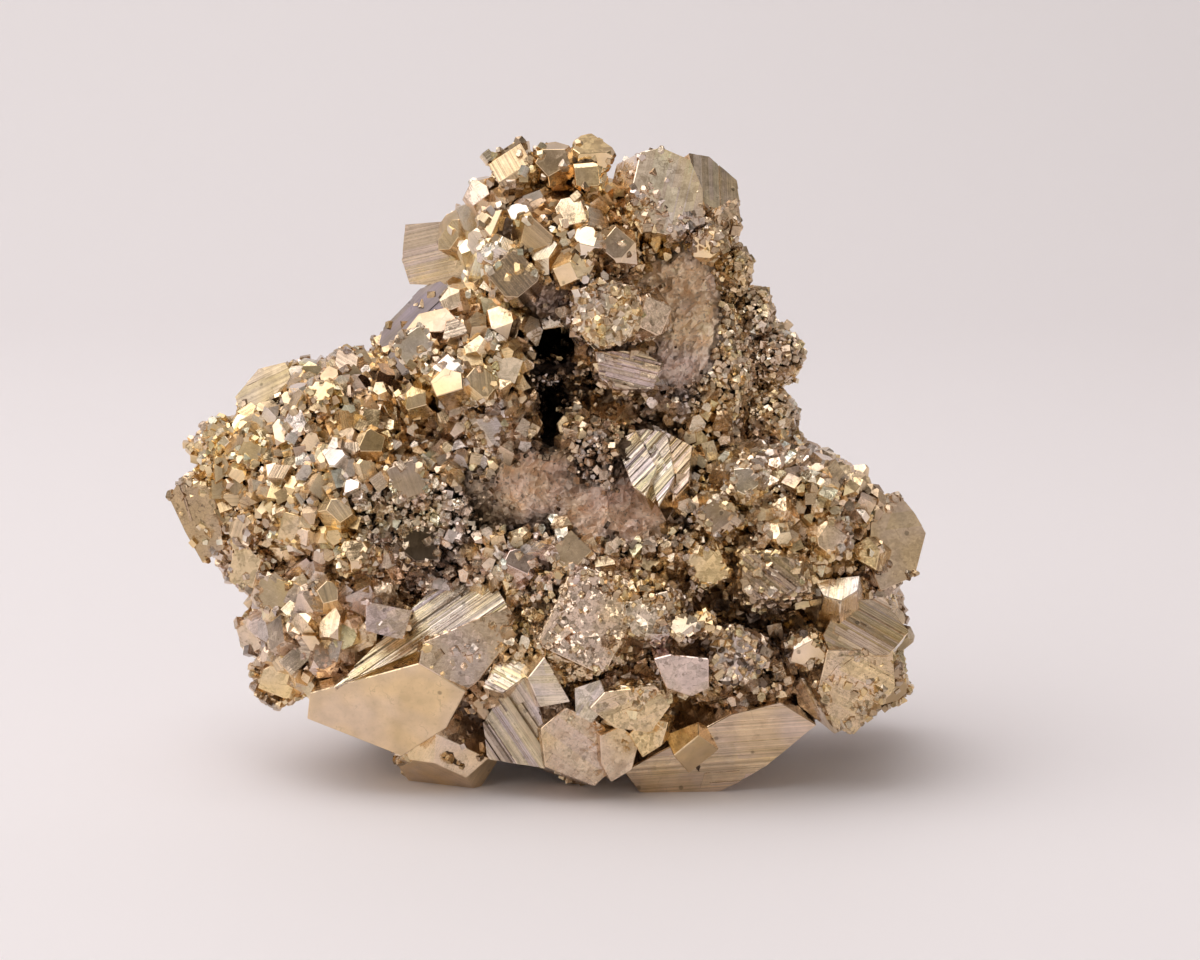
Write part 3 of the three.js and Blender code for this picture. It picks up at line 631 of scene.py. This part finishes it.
def add_terraces(heap, points, n, across, tone, lines, grit, dull, depth, count, roll, widest):
    """Lays thin growth layers on a face, their edges running along its striations."""
    along = np.cross(n, across)
    s, r = points @ across, points @ along
    low, high = s.min(), s.max()
    for _ in range(count):
        width = (high - low) * rng.uniform(0.03, widest)
        a = rng.uniform(low, high - width * 0.5)
        part = clip(points, -across, -a)
        if len(part) > 2:
            part = clip(part, across, a + width)
        if len(part) > 2 and rng.random() < 0.75:
            end = r.min() + (r.max() - r.min()) * rng.uniform(0.25, 0.95)
            tilt = unit(along + across * rng.uniform(-0.5, 0.5))
            part = clip(part, tilt, tilt @ (along * end + across * (a + width / 2)))
        if len(part) < 3:
            continue
        middle = part.mean(0)
        part = middle + (part - middle) * 0.985
        h = depth * rng.uniform(0.25, 1.0)
        k = len(part)
        slope = math.tan(rng.uniform(-roll, roll))
        rise = h + np.clip(((part - middle) @ across) * slope, SUNK - h, h)
        verts = np.vstack([part - n * SUNK, part + n * rise[:, None]])
        loops = list(range(k, 2 * k))
        for i in range(k):
            j = (i + 1) % k
            loops += [i, j, k + j, k + i]
        loops, sizes = np.array(loops), np.array([k] + [4] * k)
        m = k + 1
        tones = np.tile(shade(tone, 0.08 + 0.3 * roll), (m, 1))
        # The sides of each layer are painted darker, as painted shade in the steps.
        tones[1:] *= 0.6
        striae = np.concatenate([[lines], np.zeros(k)])
        grits, dulls, places = np.full(m, grit), np.full(m, dull), verts[loops] @ across
        heap.add(verts, loops, sizes, tones, grits, striae, dulls, places, np.arange(m))


# --- small crystals ---


def template(habit, seed):
    """One small crystal of unit size: corners, faces and the striation of each corner."""
    local = np.random.default_rng(seed)
    forms, _ = HABITS[habit]
    normals = np.array([n for group, _ in forms for n in group])
    far = np.array([d for group, d in forms for _ in group])
    far = far * local.uniform(0.82, 1.18, len(far))
    v, faces = polyhedron(normals, far)
    loops = np.concatenate(faces)
    sizes = np.array([len(f) for f in faces])
    along = []
    for f in faces:
        n = newell(v[f])
        along.append(v[f] @ across_of(n, np.eye(3)))
    return v, loops, sizes, np.concatenate(along)


TEMPLATES = {h: [template(h, 10 * k + j) for j in range(8)] for k, h in enumerate(HABITS)}
SUGAR = [template("cube", 900 + j) for j in range(6)]
SUGAR += [template("octa", 950), template("pyrito", 951)]


def random_turns(count):
    q = rng.normal(size=(count, 4))
    q /= np.linalg.norm(q, axis=1)[:, None]
    w, x, y, z = q.T
    return np.stack(
        [
            np.stack([1 - 2 * (y * y + z * z), 2 * (x * y - z * w), 2 * (x * z + y * w)], 1),
            np.stack([2 * (x * y + z * w), 1 - 2 * (x * x + z * z), 2 * (y * z - x * w)], 1),
            np.stack([2 * (x * z - y * w), 2 * (y * z + x * w), 1 - 2 * (x * x + y * y)], 1),
        ],
        1,
    )


def add_small(heap, places, lifts, darkest_crevice_shade, sizes, tones, grits, choices):
    """Adds many small crystals. choices holds the templates, of which each takes one at random,
    lifts the direction away from the surface and the height of the crystal's middle over it, and
    the argument after lifts how dark the crystal's foot is painted, as painted shade in its gap."""
    pick = rng.integers(0, len(choices), len(places))
    for t, (v, loops, counts, along) in enumerate(choices):
        ids = np.where(pick == t)[0]
        if not len(ids):
            continue
        n, nf = len(ids), len(counts)
        verts = v[None] * rng.uniform(0.8, 1.25, (n, 1, 3)) * sizes[ids, None, None]
        verts = np.einsum("nij,nkj->nki", random_turns(n), verts)
        up, height = lifts[ids, :3], lifts[ids, 3]
        over = np.einsum("nki,ni->nk", verts, up) / sizes[ids, None] + height[:, None]
        # Painted shade: each corner is darker the nearer it lies to the surface the crystal grows
        # on.
        corner_crevice_shade = np.clip(GAP_SHADE[0] + GAP_SHADE[1] * over, darkest_crevice_shade[ids, None], 1.0)
        verts = verts + places[ids, None, :]
        verts[:, :, 2] = np.maximum(verts[:, :, 2], 0.0)
        face_tone = np.repeat(tones[ids], nf, axis=0) * rng.uniform(0.93, 1.07, (n * nf, 1))
        heap.add(
            verts.reshape(-1, 3),
            (loops[None] + len(v) * np.arange(n)[:, None]).ravel(),
            np.tile(counts, n),
            np.clip(face_tone, 0, BRIGHTEST),
            np.repeat(grits[ids], nf),
            np.repeat(rng.uniform(0, 0.8, n) ** 2, nf),
            np.repeat(rng.uniform(0, 0.25, n), nf),
            (along[None] * sizes[ids, None] + rng.uniform(0, 50, (n, 1))).ravel(),
            np.repeat(np.arange(n), nf),
            corner_crevice_shade[:, loops].ravel(),
        )


def spaced(points, radii, gap):
    """Indices of the points kept when each keeps its distance from those before it."""
    cell = 2.0 * radii.max() * gap
    grid, kept = {}, []

    def is_crowded(i, x, y, z):
        for dx, dy, dz in product((-1, 0, 1), repeat=3):
            for j in grid.get((x + dx, y + dy, z + dz), ()):
                d = points[j] - points[i]
                if d @ d < ((radii[i] + radii[j]) * gap) ** 2:
                    return True
        return False

    for i, key in enumerate(map(tuple, np.floor(points / cell).astype(int))):
        if not is_crowded(i, *key):
            kept.append(i)
            grid.setdefault(key, []).append(i)
    return np.array(kept, int)


# --- material ---


class Nodes:
    """Short names for adding and linking the nodes of one material."""

    def __init__(self, tree):
        self.tree = tree
        tree.nodes.clear()

    def add(self, kind, _out=0, **inputs):
        """Adds a node and gives one of its outputs. A name that starts with p_ is a property of the
        node, i and a number is an input by its place, and any other name is an input's own."""
        node = self.tree.nodes.new(kind)
        for key, value in inputs.items():
            if key.startswith("p_"):
                setattr(node, key[2:], value)
                continue
            by_place = key[0] == "i" and key[1:].isdigit()
            socket = node.inputs[int(key[1:]) if by_place else key.replace("_", " ")]
            if isinstance(value, bpy.types.NodeSocket):
                self.tree.links.new(value, socket)
            else:
                socket.default_value = value
        return node.outputs[_out]

    def end(self, kind, shader):
        self.tree.links.new(shader, self.tree.nodes.new(kind).inputs["Surface"])

    def math(self, op, a, b=0.0, clamp=False):
        return self.add("ShaderNodeMath", p_operation=op, p_use_clamp=clamp, i0=a, i1=b)

    def times(self, a, b):
        return self.math("MULTIPLY", a, b)

    def without(self, share):
        return self.math("SUBTRACT", 1.0, share)

    def vector(self, op, a, b):
        out = "Value" if op == "DOT_PRODUCT" else "Vector"
        return self.add("ShaderNodeVectorMath", out, p_operation=op, i0=a, i1=b)

    def scaled(self, a, factor):
        return self.add("ShaderNodeVectorMath", p_operation="SCALE", i0=a, Scale=factor)

    def attribute(self, name, out="Fac"):
        return self.add("ShaderNodeAttribute", out, p_attribute_name=name)

    def noise(self, place, scale, detail=2.0, rough=0.5, dims="3D", out="Fac"):
        looks = {"Scale": scale, "Detail": detail, "Roughness": rough}
        looks["W" if dims == "1D" else "Vector"] = place
        return self.add("ShaderNodeTexNoise", out, p_noise_dimensions=dims, **looks)

    def cells(self, place, scale):
        return self.add("ShaderNodeTexVoronoi", Vector=place, Scale=scale).node.outputs

    def facets(self, place, scale):
        """The height of a mosaic of small flat facets, each tilted its own way."""
        cells = self.cells(place, scale)
        from_middle = self.vector("SUBTRACT", place, cells["Position"])
        tilt = self.vector("SUBTRACT", cells["Color"], (0.5, 0.5, 0.5))
        return self.vector("DOT_PRODUCT", from_middle, tilt)

    def remap(self, value, low, high, to_low, to_high):
        ends = {"From_Min": low, "From_Max": high, "To_Min": to_low, "To_Max": to_high}
        return self.add("ShaderNodeMapRange", Value=value, **ends)


def pyrite_material():
    mat = bpy.data.materials.new("pyrite")
    mat.use_nodes = True
    n = Nodes(mat.node_tree)
    place = n.add("ShaderNodeTexCoord", "Object")
    grit, lines = n.attribute("grit"), n.attribute("lines")
    dull, along = n.attribute("dull"), n.attribute("along")
    tone = n.attribute("tone", "Color")

    patches = n.noise(place, 420.0, 3.0)
    fine = n.noise(place, 2600.0)
    striae = n.noise(along, 2.2, 4.0, 0.75, "1D")
    wander = n.noise(place, 900.0)

    # Thin cracks here and there, which wander a little, and a few tiny round pits.
    bent = n.vector("ADD", place, n.scaled(n.noise(place, 900.0, out="Color"), 0.0022))
    edges = n.add("ShaderNodeTexVoronoi", p_feature="DISTANCE_TO_EDGE", Vector=bent, Scale=240.0)
    crack = n.times(n.remap(edges, 0.0, 0.02, 1.0, 0.0), n.remap(patches, 0.54, 0.6, 0.0, 0.8))
    dots = n.cells(place, 420.0)
    few = n.math("GREATER_THAN", n.add("ShaderNodeSeparateColor", Color=dots["Color"]), 0.6)
    pit = n.times(n.remap(dots["Distance"], 0.09, 0.15, 1.0, 0.0), few)

    # Slow lighter and darker patches, darker specks where the face is gritty, streaks along the
    # striations, and the cracks and pits.
    light = n.remap(patches, 0.3, 0.7, 0.86, 1.1)
    specks = n.times(n.times(n.remap(fine, 0.56, 0.7, 0.0, 1.0), grit), 0.45)
    streak = n.times(n.remap(striae, 0.35, 0.65, -0.45, 0.12), lines)
    light = n.times(light, n.without(specks))
    light = n.times(light, n.math("ADD", 1.0, streak))
    light = n.times(light, n.without(n.times(crack, 0.3)))
    light = n.times(light, n.without(n.times(pit, 0.45)))

    # Areas that are a little more golden or more pink.
    hue = n.add("ShaderNodeValToRGB", Fac=n.noise(place, 130.0))
    ends = hue.node.color_ramp.elements
    ends[0].position, ends[1].position = 0.4, 0.6
    ends[0].color, ends[1].color = (1.03, 0.99, 0.88, 1), (0.98, 0.98, 1.07, 1)
    colour = n.scaled(n.vector("MULTIPLY", tone, hue), light)

    rough = n.math("ADD", 0.1, n.times(dull, 0.55))
    rough = n.math("ADD", rough, n.times(grit, 0.1))
    rough = n.math("ADD", rough, n.remap(wander, 0.3, 0.7, -0.04, 0.08), True)

    # Ridges along the striations, a mosaic of facets where the face is gritty, and a slow swell
    # with the cracks and pits let into it.
    bump = "ShaderNodeBump"
    ridges = n.add(bump, Height=striae, Strength=n.times(lines, 0.9), Distance=0.00012)
    mosaic = n.math("ADD", n.facets(place, 950.0), n.times(n.facets(place, 2600.0), 0.7))
    rugged = n.add(bump, Height=mosaic, Strength=grit, Distance=1.0, Normal=ridges)
    split = n.math("SUBTRACT", n.times(wander, 0.35), n.times(crack, 0.35))
    split = n.math("SUBTRACT", split, pit)
    swell = n.add(bump, Height=split, Strength=0.3, Distance=0.0001, Normal=rugged)

    looks = {"Base_Color": colour, "Metallic": 1.0, "Roughness": rough, "Normal": swell}
    n.end("ShaderNodeOutputMaterial", n.add("ShaderNodeBsdfPrincipled", **looks))
    return mat


# --- the body ---


def make_body(material):
    """The CAD solid, remeshed finer and roughened."""
    first = bpy.data.objects[NODE].data.copy()
    obj = bpy.data.objects.new("rough_body", first)
    bpy.context.collection.objects.link(obj)
    remesh = obj.modifiers.new("voxels", "REMESH")
    remesh.mode = "VOXEL"
    remesh.voxel_size = VOXEL
    seen = bpy.context.evaluated_depsgraph_get()
    me = bpy.data.meshes.new_from_object(obj.evaluated_get(seen))
    obj.modifiers.clear()
    obj.data = me
    bpy.data.meshes.remove(first)
    co = read(me.vertices, "co") / MM
    push = np.empty(len(co))
    for i, p in enumerate(co):
        q = Vector(p)
        broad = noise.noise(q * 0.28)
        grains = noise.cell(q * 1.3) - 0.5
        fine = noise.noise(q * 1.7)
        push[i] = -0.55 + 0.5 * broad + 0.35 * grains + 0.3 * fine
    co = co + read(me.vertex_normals, "vector") * push[:, None]
    co[:, 2] = np.maximum(co[:, 2], 0.0)
    me.vertices.foreach_set("co", (co * MM).ravel())
    me.update()

    mid = read(me.polygons, "center") / MM
    # The body's tone is a dark painted shade for the gaps between its crystals.
    tone = np.tile(PAINTED_CREVICE_TONE, (len(mid), 1))
    dull = np.full(len(mid), GAP_DULL)
    # The holes are painted near-black, as painted shade in them.
    hole_shade_rows = [(at, radii, PAINTED_HOLE_TONE, HOLE_DULL, 1.1) for at, radii in HOLES]
    for at, radii, colour, dullness, reach in [(*row, 1.15) for row in LIGHTER + BARE] + hole_shade_rows:
        d = np.linalg.norm((mid - at) / radii, axis=1)
        share = np.clip((reach - d) / 0.3, 0, 1)
        tone += (np.array(colour) - tone) * share[:, None]
        dull += (dullness - dull) * share
    store(me, "tone", "FACE", tone)
    store(me, "dull", "FACE", dull)
    store(me, "grit", "FACE", np.ones(len(mid)))
    store(me, "lines", "FACE", np.zeros(len(mid)))
    box_map(me)
    me.materials.clear()
    me.materials.append(material)
    me.shade_flat()
    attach(obj, "root")
    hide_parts(NODE)


def box_map(me):
    """Maps each face from whichever of six sides it faces most, each side in its own part."""
    normals = read(me.polygons, "normal")
    sizes = read(me.polygons, "loop_total", 1, np.int32)
    corner = read(me.loops, "vertex_index", 1, np.int32)
    co = read(me.vertices, "co")
    axis = np.abs(normals).argmax(1)
    side = axis * 2 + (normals[np.arange(len(axis)), axis] > 0)
    p = (co[corner] - co.min(0)) / np.ptp(co, axis=0).max()
    rows = np.arange(len(p))
    first, second = np.array((1, 0, 0))[axis], np.array((2, 2, 1))[axis]
    side, first, second = (np.repeat(each, sizes) for each in (side, first, second))
    u = (side % 3 + 0.02 + 0.96 * p[rows, first]) / 3
    v = (side // 3 + 0.02 + 0.96 * p[rows, second]) / 2
    store_bake_map(me, u, v)


# --- putting it together ---


def cad_surface():
    """The CAD solid's triangles, in millimetres."""
    me = bpy.data.objects[NODE].data
    me.calc_loop_triangles()
    return read(me.vertices, "co")[read(me.loop_triangles, "vertices", 3, np.int32)] / MM


def sample(triangles, density):
    """Points spread at random over the triangles, and the way the surface faces at each."""
    a, b, c = triangles[:, 0], triangles[:, 1], triangles[:, 2]
    cross = np.cross(b - a, c - a)
    area = np.linalg.norm(cross, axis=1) / 2
    count = int(area.sum() * density)
    pick = rng.choice(len(area), count, p=area / area.sum())
    u, v = np.sqrt(rng.random(count))[:, None], rng.random(count)[:, None]
    points = a[pick] * (1 - u) + b[pick] * (u * (1 - v)) + c[pick] * (u * v)
    return points, cross[pick] / (2 * area[pick, None])


def on_surface_of(points, normals, far):
    return np.abs((points @ normals.T - far).max(1)) < ON_FACE


def in_oval(points, middle, radii):
    """Which points are in an oval as seen from the front."""
    (x, z), (rx, rz) = middle, radii
    return ((points[:, 0] - x) / rx) ** 2 + ((points[:, 2] - z) / rz) ** 2 < 1


def area_of(points, normals):
    """For each point the index of its area in ALL_AREAS."""
    which = np.where(points[:, 1] < BACK_FROM, len(AREAS) + 1, len(AREAS))
    best = np.full(len(points), 1.0)
    x, z = (points[:, k] + rng.normal(0, 0.7, len(points)) for k in (0, 2))
    front = (normals[:, 1] < 0.6) & (points[:, 1] < 14)
    for i, ((ax, az), (rx, rz), *_rest) in enumerate(AREAS):
        d = ((x - ax) / rx) ** 2 + ((z - az) / rz) ** 2
        closer = front & (d < best * 1.3) & (d < 1.3)
        which[closer] = i
        best[closer] = d[closer]
    return which


def bare_share(points):
    """How much of each point is where the body itself shows."""
    share = np.zeros(len(points))
    bare = [(at, radii, 1.1, 0.25) for at, radii, *_looks in BARE]
    for at, radii, reach, soft in bare + [(at, radii, 1.15, 0.2) for at, radii in HOLES]:
        d = np.linalg.norm((points - at) / radii, axis=1)
        share = np.maximum(share, np.clip((reach - d) / soft, 0, 1))
    return share


def scatter(material, broad, medium):
    """Grows the druse on the CAD solid, in four pieces."""
    points, normals = sample(cad_surface(), POINTS_PER_MM2)
    above = points[:, 2] > 0.25
    points, normals = points[above], normals[above]
    chance = np.ones(len(points))
    crusted = np.zeros(len(points), bool)
    for planes, face, crust in medium:
        on = on_surface_of(points, *planes)
        sides = np.where(points[on, 2] > 57, 0.08, 0.5)
        chance[on] = np.where(normals[on] @ face > 0.35, crust, sides)
        crusted |= on
    for planes, crust in broad:
        on = on_surface_of(points, *planes)
        chance[on] = crust
        crusted |= on
    for middle, reach, crust in CRUSTS:
        inside = in_oval(points, middle, reach) & (points[:, 1] < 18)
        chance[inside] = np.maximum(chance[inside], crust)
    which = area_of(points, normals)
    columns = zip(*((*row[2], row[3]) for row in ALL_AREAS))
    low, high, share = (np.array(column)[which] for column in columns)
    radii = low * (high / low) ** (rng.random(len(points)) ** 1.5)
    radii[crusted] = np.minimum(radii[crusted], LARGEST_IN_CRUST)
    chance = chance * share * np.minimum(1.0, 0.28 / low**2)
    chance *= 1 - bare_share(points) * 0.97
    for middle, reach in CLEAR:
        chance[in_oval(points, middle, reach) & (points[:, 1] < BACK_FROM)] *= 0.05
    keep = np.where(rng.random(len(points)) < chance)[0]
    keep = keep[np.argsort(-radii[keep])]
    keep = keep[spaced(points[keep], radii[keep], SPACING)]
    columns = (points, normals, radii, which, crusted)
    points, normals, radii, which, crusted = (column[keep] for column in columns)
    lift = rng.uniform(-0.6, 0.1, len(radii)) - 0.2 * crusted
    points = points + normals * (radii * lift)[:, None]
    tones = np.empty((len(points), 3))
    grits = np.empty(len(points))
    for i, (*_place, names, grit) in enumerate(ALL_AREAS):
        ids = np.where(which == i)[0]
        choices = np.array([TONES[name] for name in names.split()])
        tones[ids] = choices[rng.integers(0, len(choices), len(ids))]
        grits[ids] = grit
    tones *= rng.uniform(0.9, 1.22, (len(points), 1))
    # How dark the painted shade at a small crystal's foot gets, less so in a crust.
    darkest_crevice_shade = np.where(crusted, 0.75, 0.2)
    columns = (points, np.column_stack([normals, lift]), darkest_crevice_shade, radii, tones, grits)

    def grow(name, *groups):
        heap = Heap()
        for group, choices in groups:
            ids = np.where(group)[0]
            add_small(heap, *(column[ids] for column in columns), choices)
        heap.build(name, material)

    x = points[:, 0]
    behind = (which == len(AREAS)) & (points[:, 1] > 0)
    coarse = radii > SUGAR_LARGEST
    every_habit = [crystal for made in TEMPLATES.values() for crystal in made]
    for name, inside in (
        ("druse_left", x < MIDDLE[0]),
        ("druse_middle", (x >= MIDDLE[0]) & (x < MIDDLE[1])),
        ("druse_right", x >= MIDDLE[1]),
    ):
        there = inside & ~behind
        grow(name, (there & coarse, every_habit), (there & ~coarse, SUGAR))
    grow("druse_back", (behind, every_habit))


def make_broad(material):
    """The crystals with one broad face. Gives the planes and the crust of those in the CAD."""
    sets = []
    heap = Heap()
    for row in BROAD + PLATES:
        outline, depth, face, thick, spread, tone, angle, lines, grit, crust, *lean = row
        outline = [tuple(map(float, pair.split(","))) for pair in outline.split()]
        normals, far = broad_planes(outline, depth, face, thick, spread, *lean)
        n = normals[0]
        lie = math.radians(rng.uniform(0, 180) if angle is None else angle)
        a = np.array((math.cos(lie), 0, math.sin(lie)))
        across = np.cross(n, unit(a - n * (a @ n)))

        def across_face(m, across=across):
            v = across - m * (across @ m)
            return unit(v) if np.linalg.norm(v) > 0.2 else unit(np.cross(m, (0.3, 0.5, 0.8)))

        looks = (lines * 0.8, grit, 0.2 * grit)
        v, faces = add_large(heap, normals, far, TONES[tone], across_face, *looks, BLUNT[0])
        sets.append(((normals, far), crust))
        tops = (v[f] for f in faces if np.abs(v[f] @ n - far[0]).max() < 1e-3)
        top = next(points for points in tops if abs(newell(points) @ n) > 0.999)
        if newell(top) @ n < 0:
            top = top[::-1]
        count = int(20 * lines) if angle is None else int(6 + 34 * lines)
        layers = (0.06 + 0.16 * lines, count, 0.03, 0.3)
        if lines > 0.95:
            layers = (0.35, count, 0.35, 0.12)
        add_terraces(heap, top, n, across, TONES[tone], *looks, *layers)
    heap.build("broad_crystals", material)
    return sets[: len(BROAD)]


def make_medium(material):
    """The other large crystals. Gives the planes, the front and the crust of each."""
    sets = []
    heap = Heap()
    for index, row in enumerate(rows(CRYSTALS)):
        normals, far, axes = crystal_planes(index, *row[:5])
        at = np.array(row[1]) + (0, CENTRING, 0)
        which = area_of(at[None], np.array([row[3]], float))[0]
        names = ALL_AREAS[which][4].split()
        tone = np.array(TONES[names[rng.integers(0, len(names))]])
        tone = tone * rng.uniform(0.9, 1.1)
        lines, grit = rng.choice((0.0, 0.1, 0.3, 0.8)), 0.1
        if len(row) > 5:
            tone, lines, grit = np.array(TONES[row[5]]), row[6], row[7]

        def across_face(m, axes=axes):
            return across_of(m, axes.T)

        sets.append(((normals, far), unit(row[3]), 0.28 if grit > 0.9 else 0.008))
        cuts = 9 if row[0] == "cube" else 5
        normals, far = with_cut_corners(normals, far, axes, at, cuts)
        dull = rng.uniform(0, 0.12)
        add_large(heap, normals, far, tone, across_face, lines, grit, dull, BLUNT[1])
    heap.build("large_crystals", material)
    return sets


def main():
    material = pyrite_material()
    make_body(material)
    broad = make_broad(material)
    medium = make_medium(material)
    scatter(material, broad, medium)


# --- stage ---


def plain_material(name, colour, rough):
    mat = bpy.data.materials.new(name)
    mat.use_nodes = True
    shader = mat.node_tree.nodes["Principled BSDF"]
    shader.inputs["Base Color"].default_value = (*colour, 1)
    shader.inputs["Roughness"].default_value = rough
    shader.inputs["Specular IOR Level"].default_value = 0.2
    return mat


def make_stage():
    """A pale sheet that lies flat and then bends up behind the specimen."""
    start, bend, steps = 0.46, 0.35, 24
    profile = [(-1.6, 0.0), (start, 0.0)]
    for i in range(1, steps + 1):
        t = i / steps * math.pi / 2
        profile.append((start + bend * math.sin(t), bend * (1 - math.cos(t))))
    profile.append((start + bend, 2.4))
    verts, faces = [], []
    for y, z in profile:
        verts += [(-2.5, y, z), (2.5, y, z)]
    for i in range(len(profile) - 1):
        faces.append((2 * i, 2 * i + 1, 2 * i + 3, 2 * i + 2))
    me = bpy.data.meshes.new("sheet")
    me.from_pydata(verts, [], faces)
    me.shade_smooth()
    me.materials.append(plain_material("pale_paper", (0.88, 0.847, 0.86), 0.6))
    obj = bpy.data.objects.new("paper_sweep", me)
    bpy.context.collection.objects.link(obj)


def area_light(name, place, target, size, power, colour=(1, 1, 1)):
    light = bpy.data.lights.new(name, "AREA")
    light.shape = "RECTANGLE"
    light.size, light.size_y = size
    light.energy = power
    light.color = colour
    obj = bpy.data.objects.new(name, light)
    obj.location = place
    aim = Vector(target) - Vector(place)
    obj.rotation_euler = aim.to_track_quat("-Z", "Y").to_euler()
    bpy.context.collection.objects.link(obj)


def make_world():
    world = bpy.data.worlds.new("studio")
    world.use_nodes = True
    bpy.context.scene.world = world
    n = Nodes(world.node_tree)
    way = n.add("ShaderNodeTexCoord", "Generated")
    x, _y, z = n.add("ShaderNodeSeparateXYZ", i0=way).node.outputs
    panels = n.remap(n.noise(way, 1.6, 1.0), 0.4, 0.6, 0.55, 1.3)
    top = n.remap(z, 0.68, 0.95, 0.0, 0.9)
    low = n.remap(z, 0.28, 0.6, 0.66, 0.24)
    side = n.remap(x, -0.9, 0.9, 1.3, 0.55)
    strength = n.times(n.times(n.math("ADD", top, low), panels), side)
    warmth = n.remap(strength, 0.15, 0.6, 1.0, 0.0)
    ends = {"i6": (1.0, 0.96, 0.955, 1), "i7": (1.0, 0.87, 0.72, 1)}
    colour = n.add("ShaderNodeMix", 2, p_data_type="RGBA", i0=warmth, **ends)
    n.end("ShaderNodeOutputWorld", n.add("ShaderNodeBackground", Color=colour, Strength=strength))


def make_camera():
    cam = bpy.data.cameras.new("camera")
    cam.lens = 85
    cam.sensor_width = 36
    cam.clip_start = 0.01
    obj = bpy.data.objects.new("camera", cam)
    tilt = math.radians(10)
    target, distance = Vector((0.0066, -0.003, 0.0369)), 0.354
    obj.location = target + Vector((0, -math.cos(tilt), math.sin(tilt))) * distance
    obj.rotation_euler = (math.pi / 2 - tilt, 0, 0)
    bpy.context.collection.objects.link(obj)
    bpy.context.scene.camera = obj


main()
make_stage()
make_world()
area_light("key", (-0.4, -0.2, 0.82), (-0.03, -0.05, 0.03), (1.15, 1.15), 6.6, (1.0, 0.972, 0.97))
area_light("fill", (0.75, -0.5, 0.5), (0, 0, 0.03), (0.4, 0.6), 0.15)
area_light("back", (-0.15, 0.3, 1.0), (-0.1, 0.5, 0.1), (1.0, 0.4), 0.42)
make_camera()
bpy.context.scene.view_settings.view_transform = "Standard"
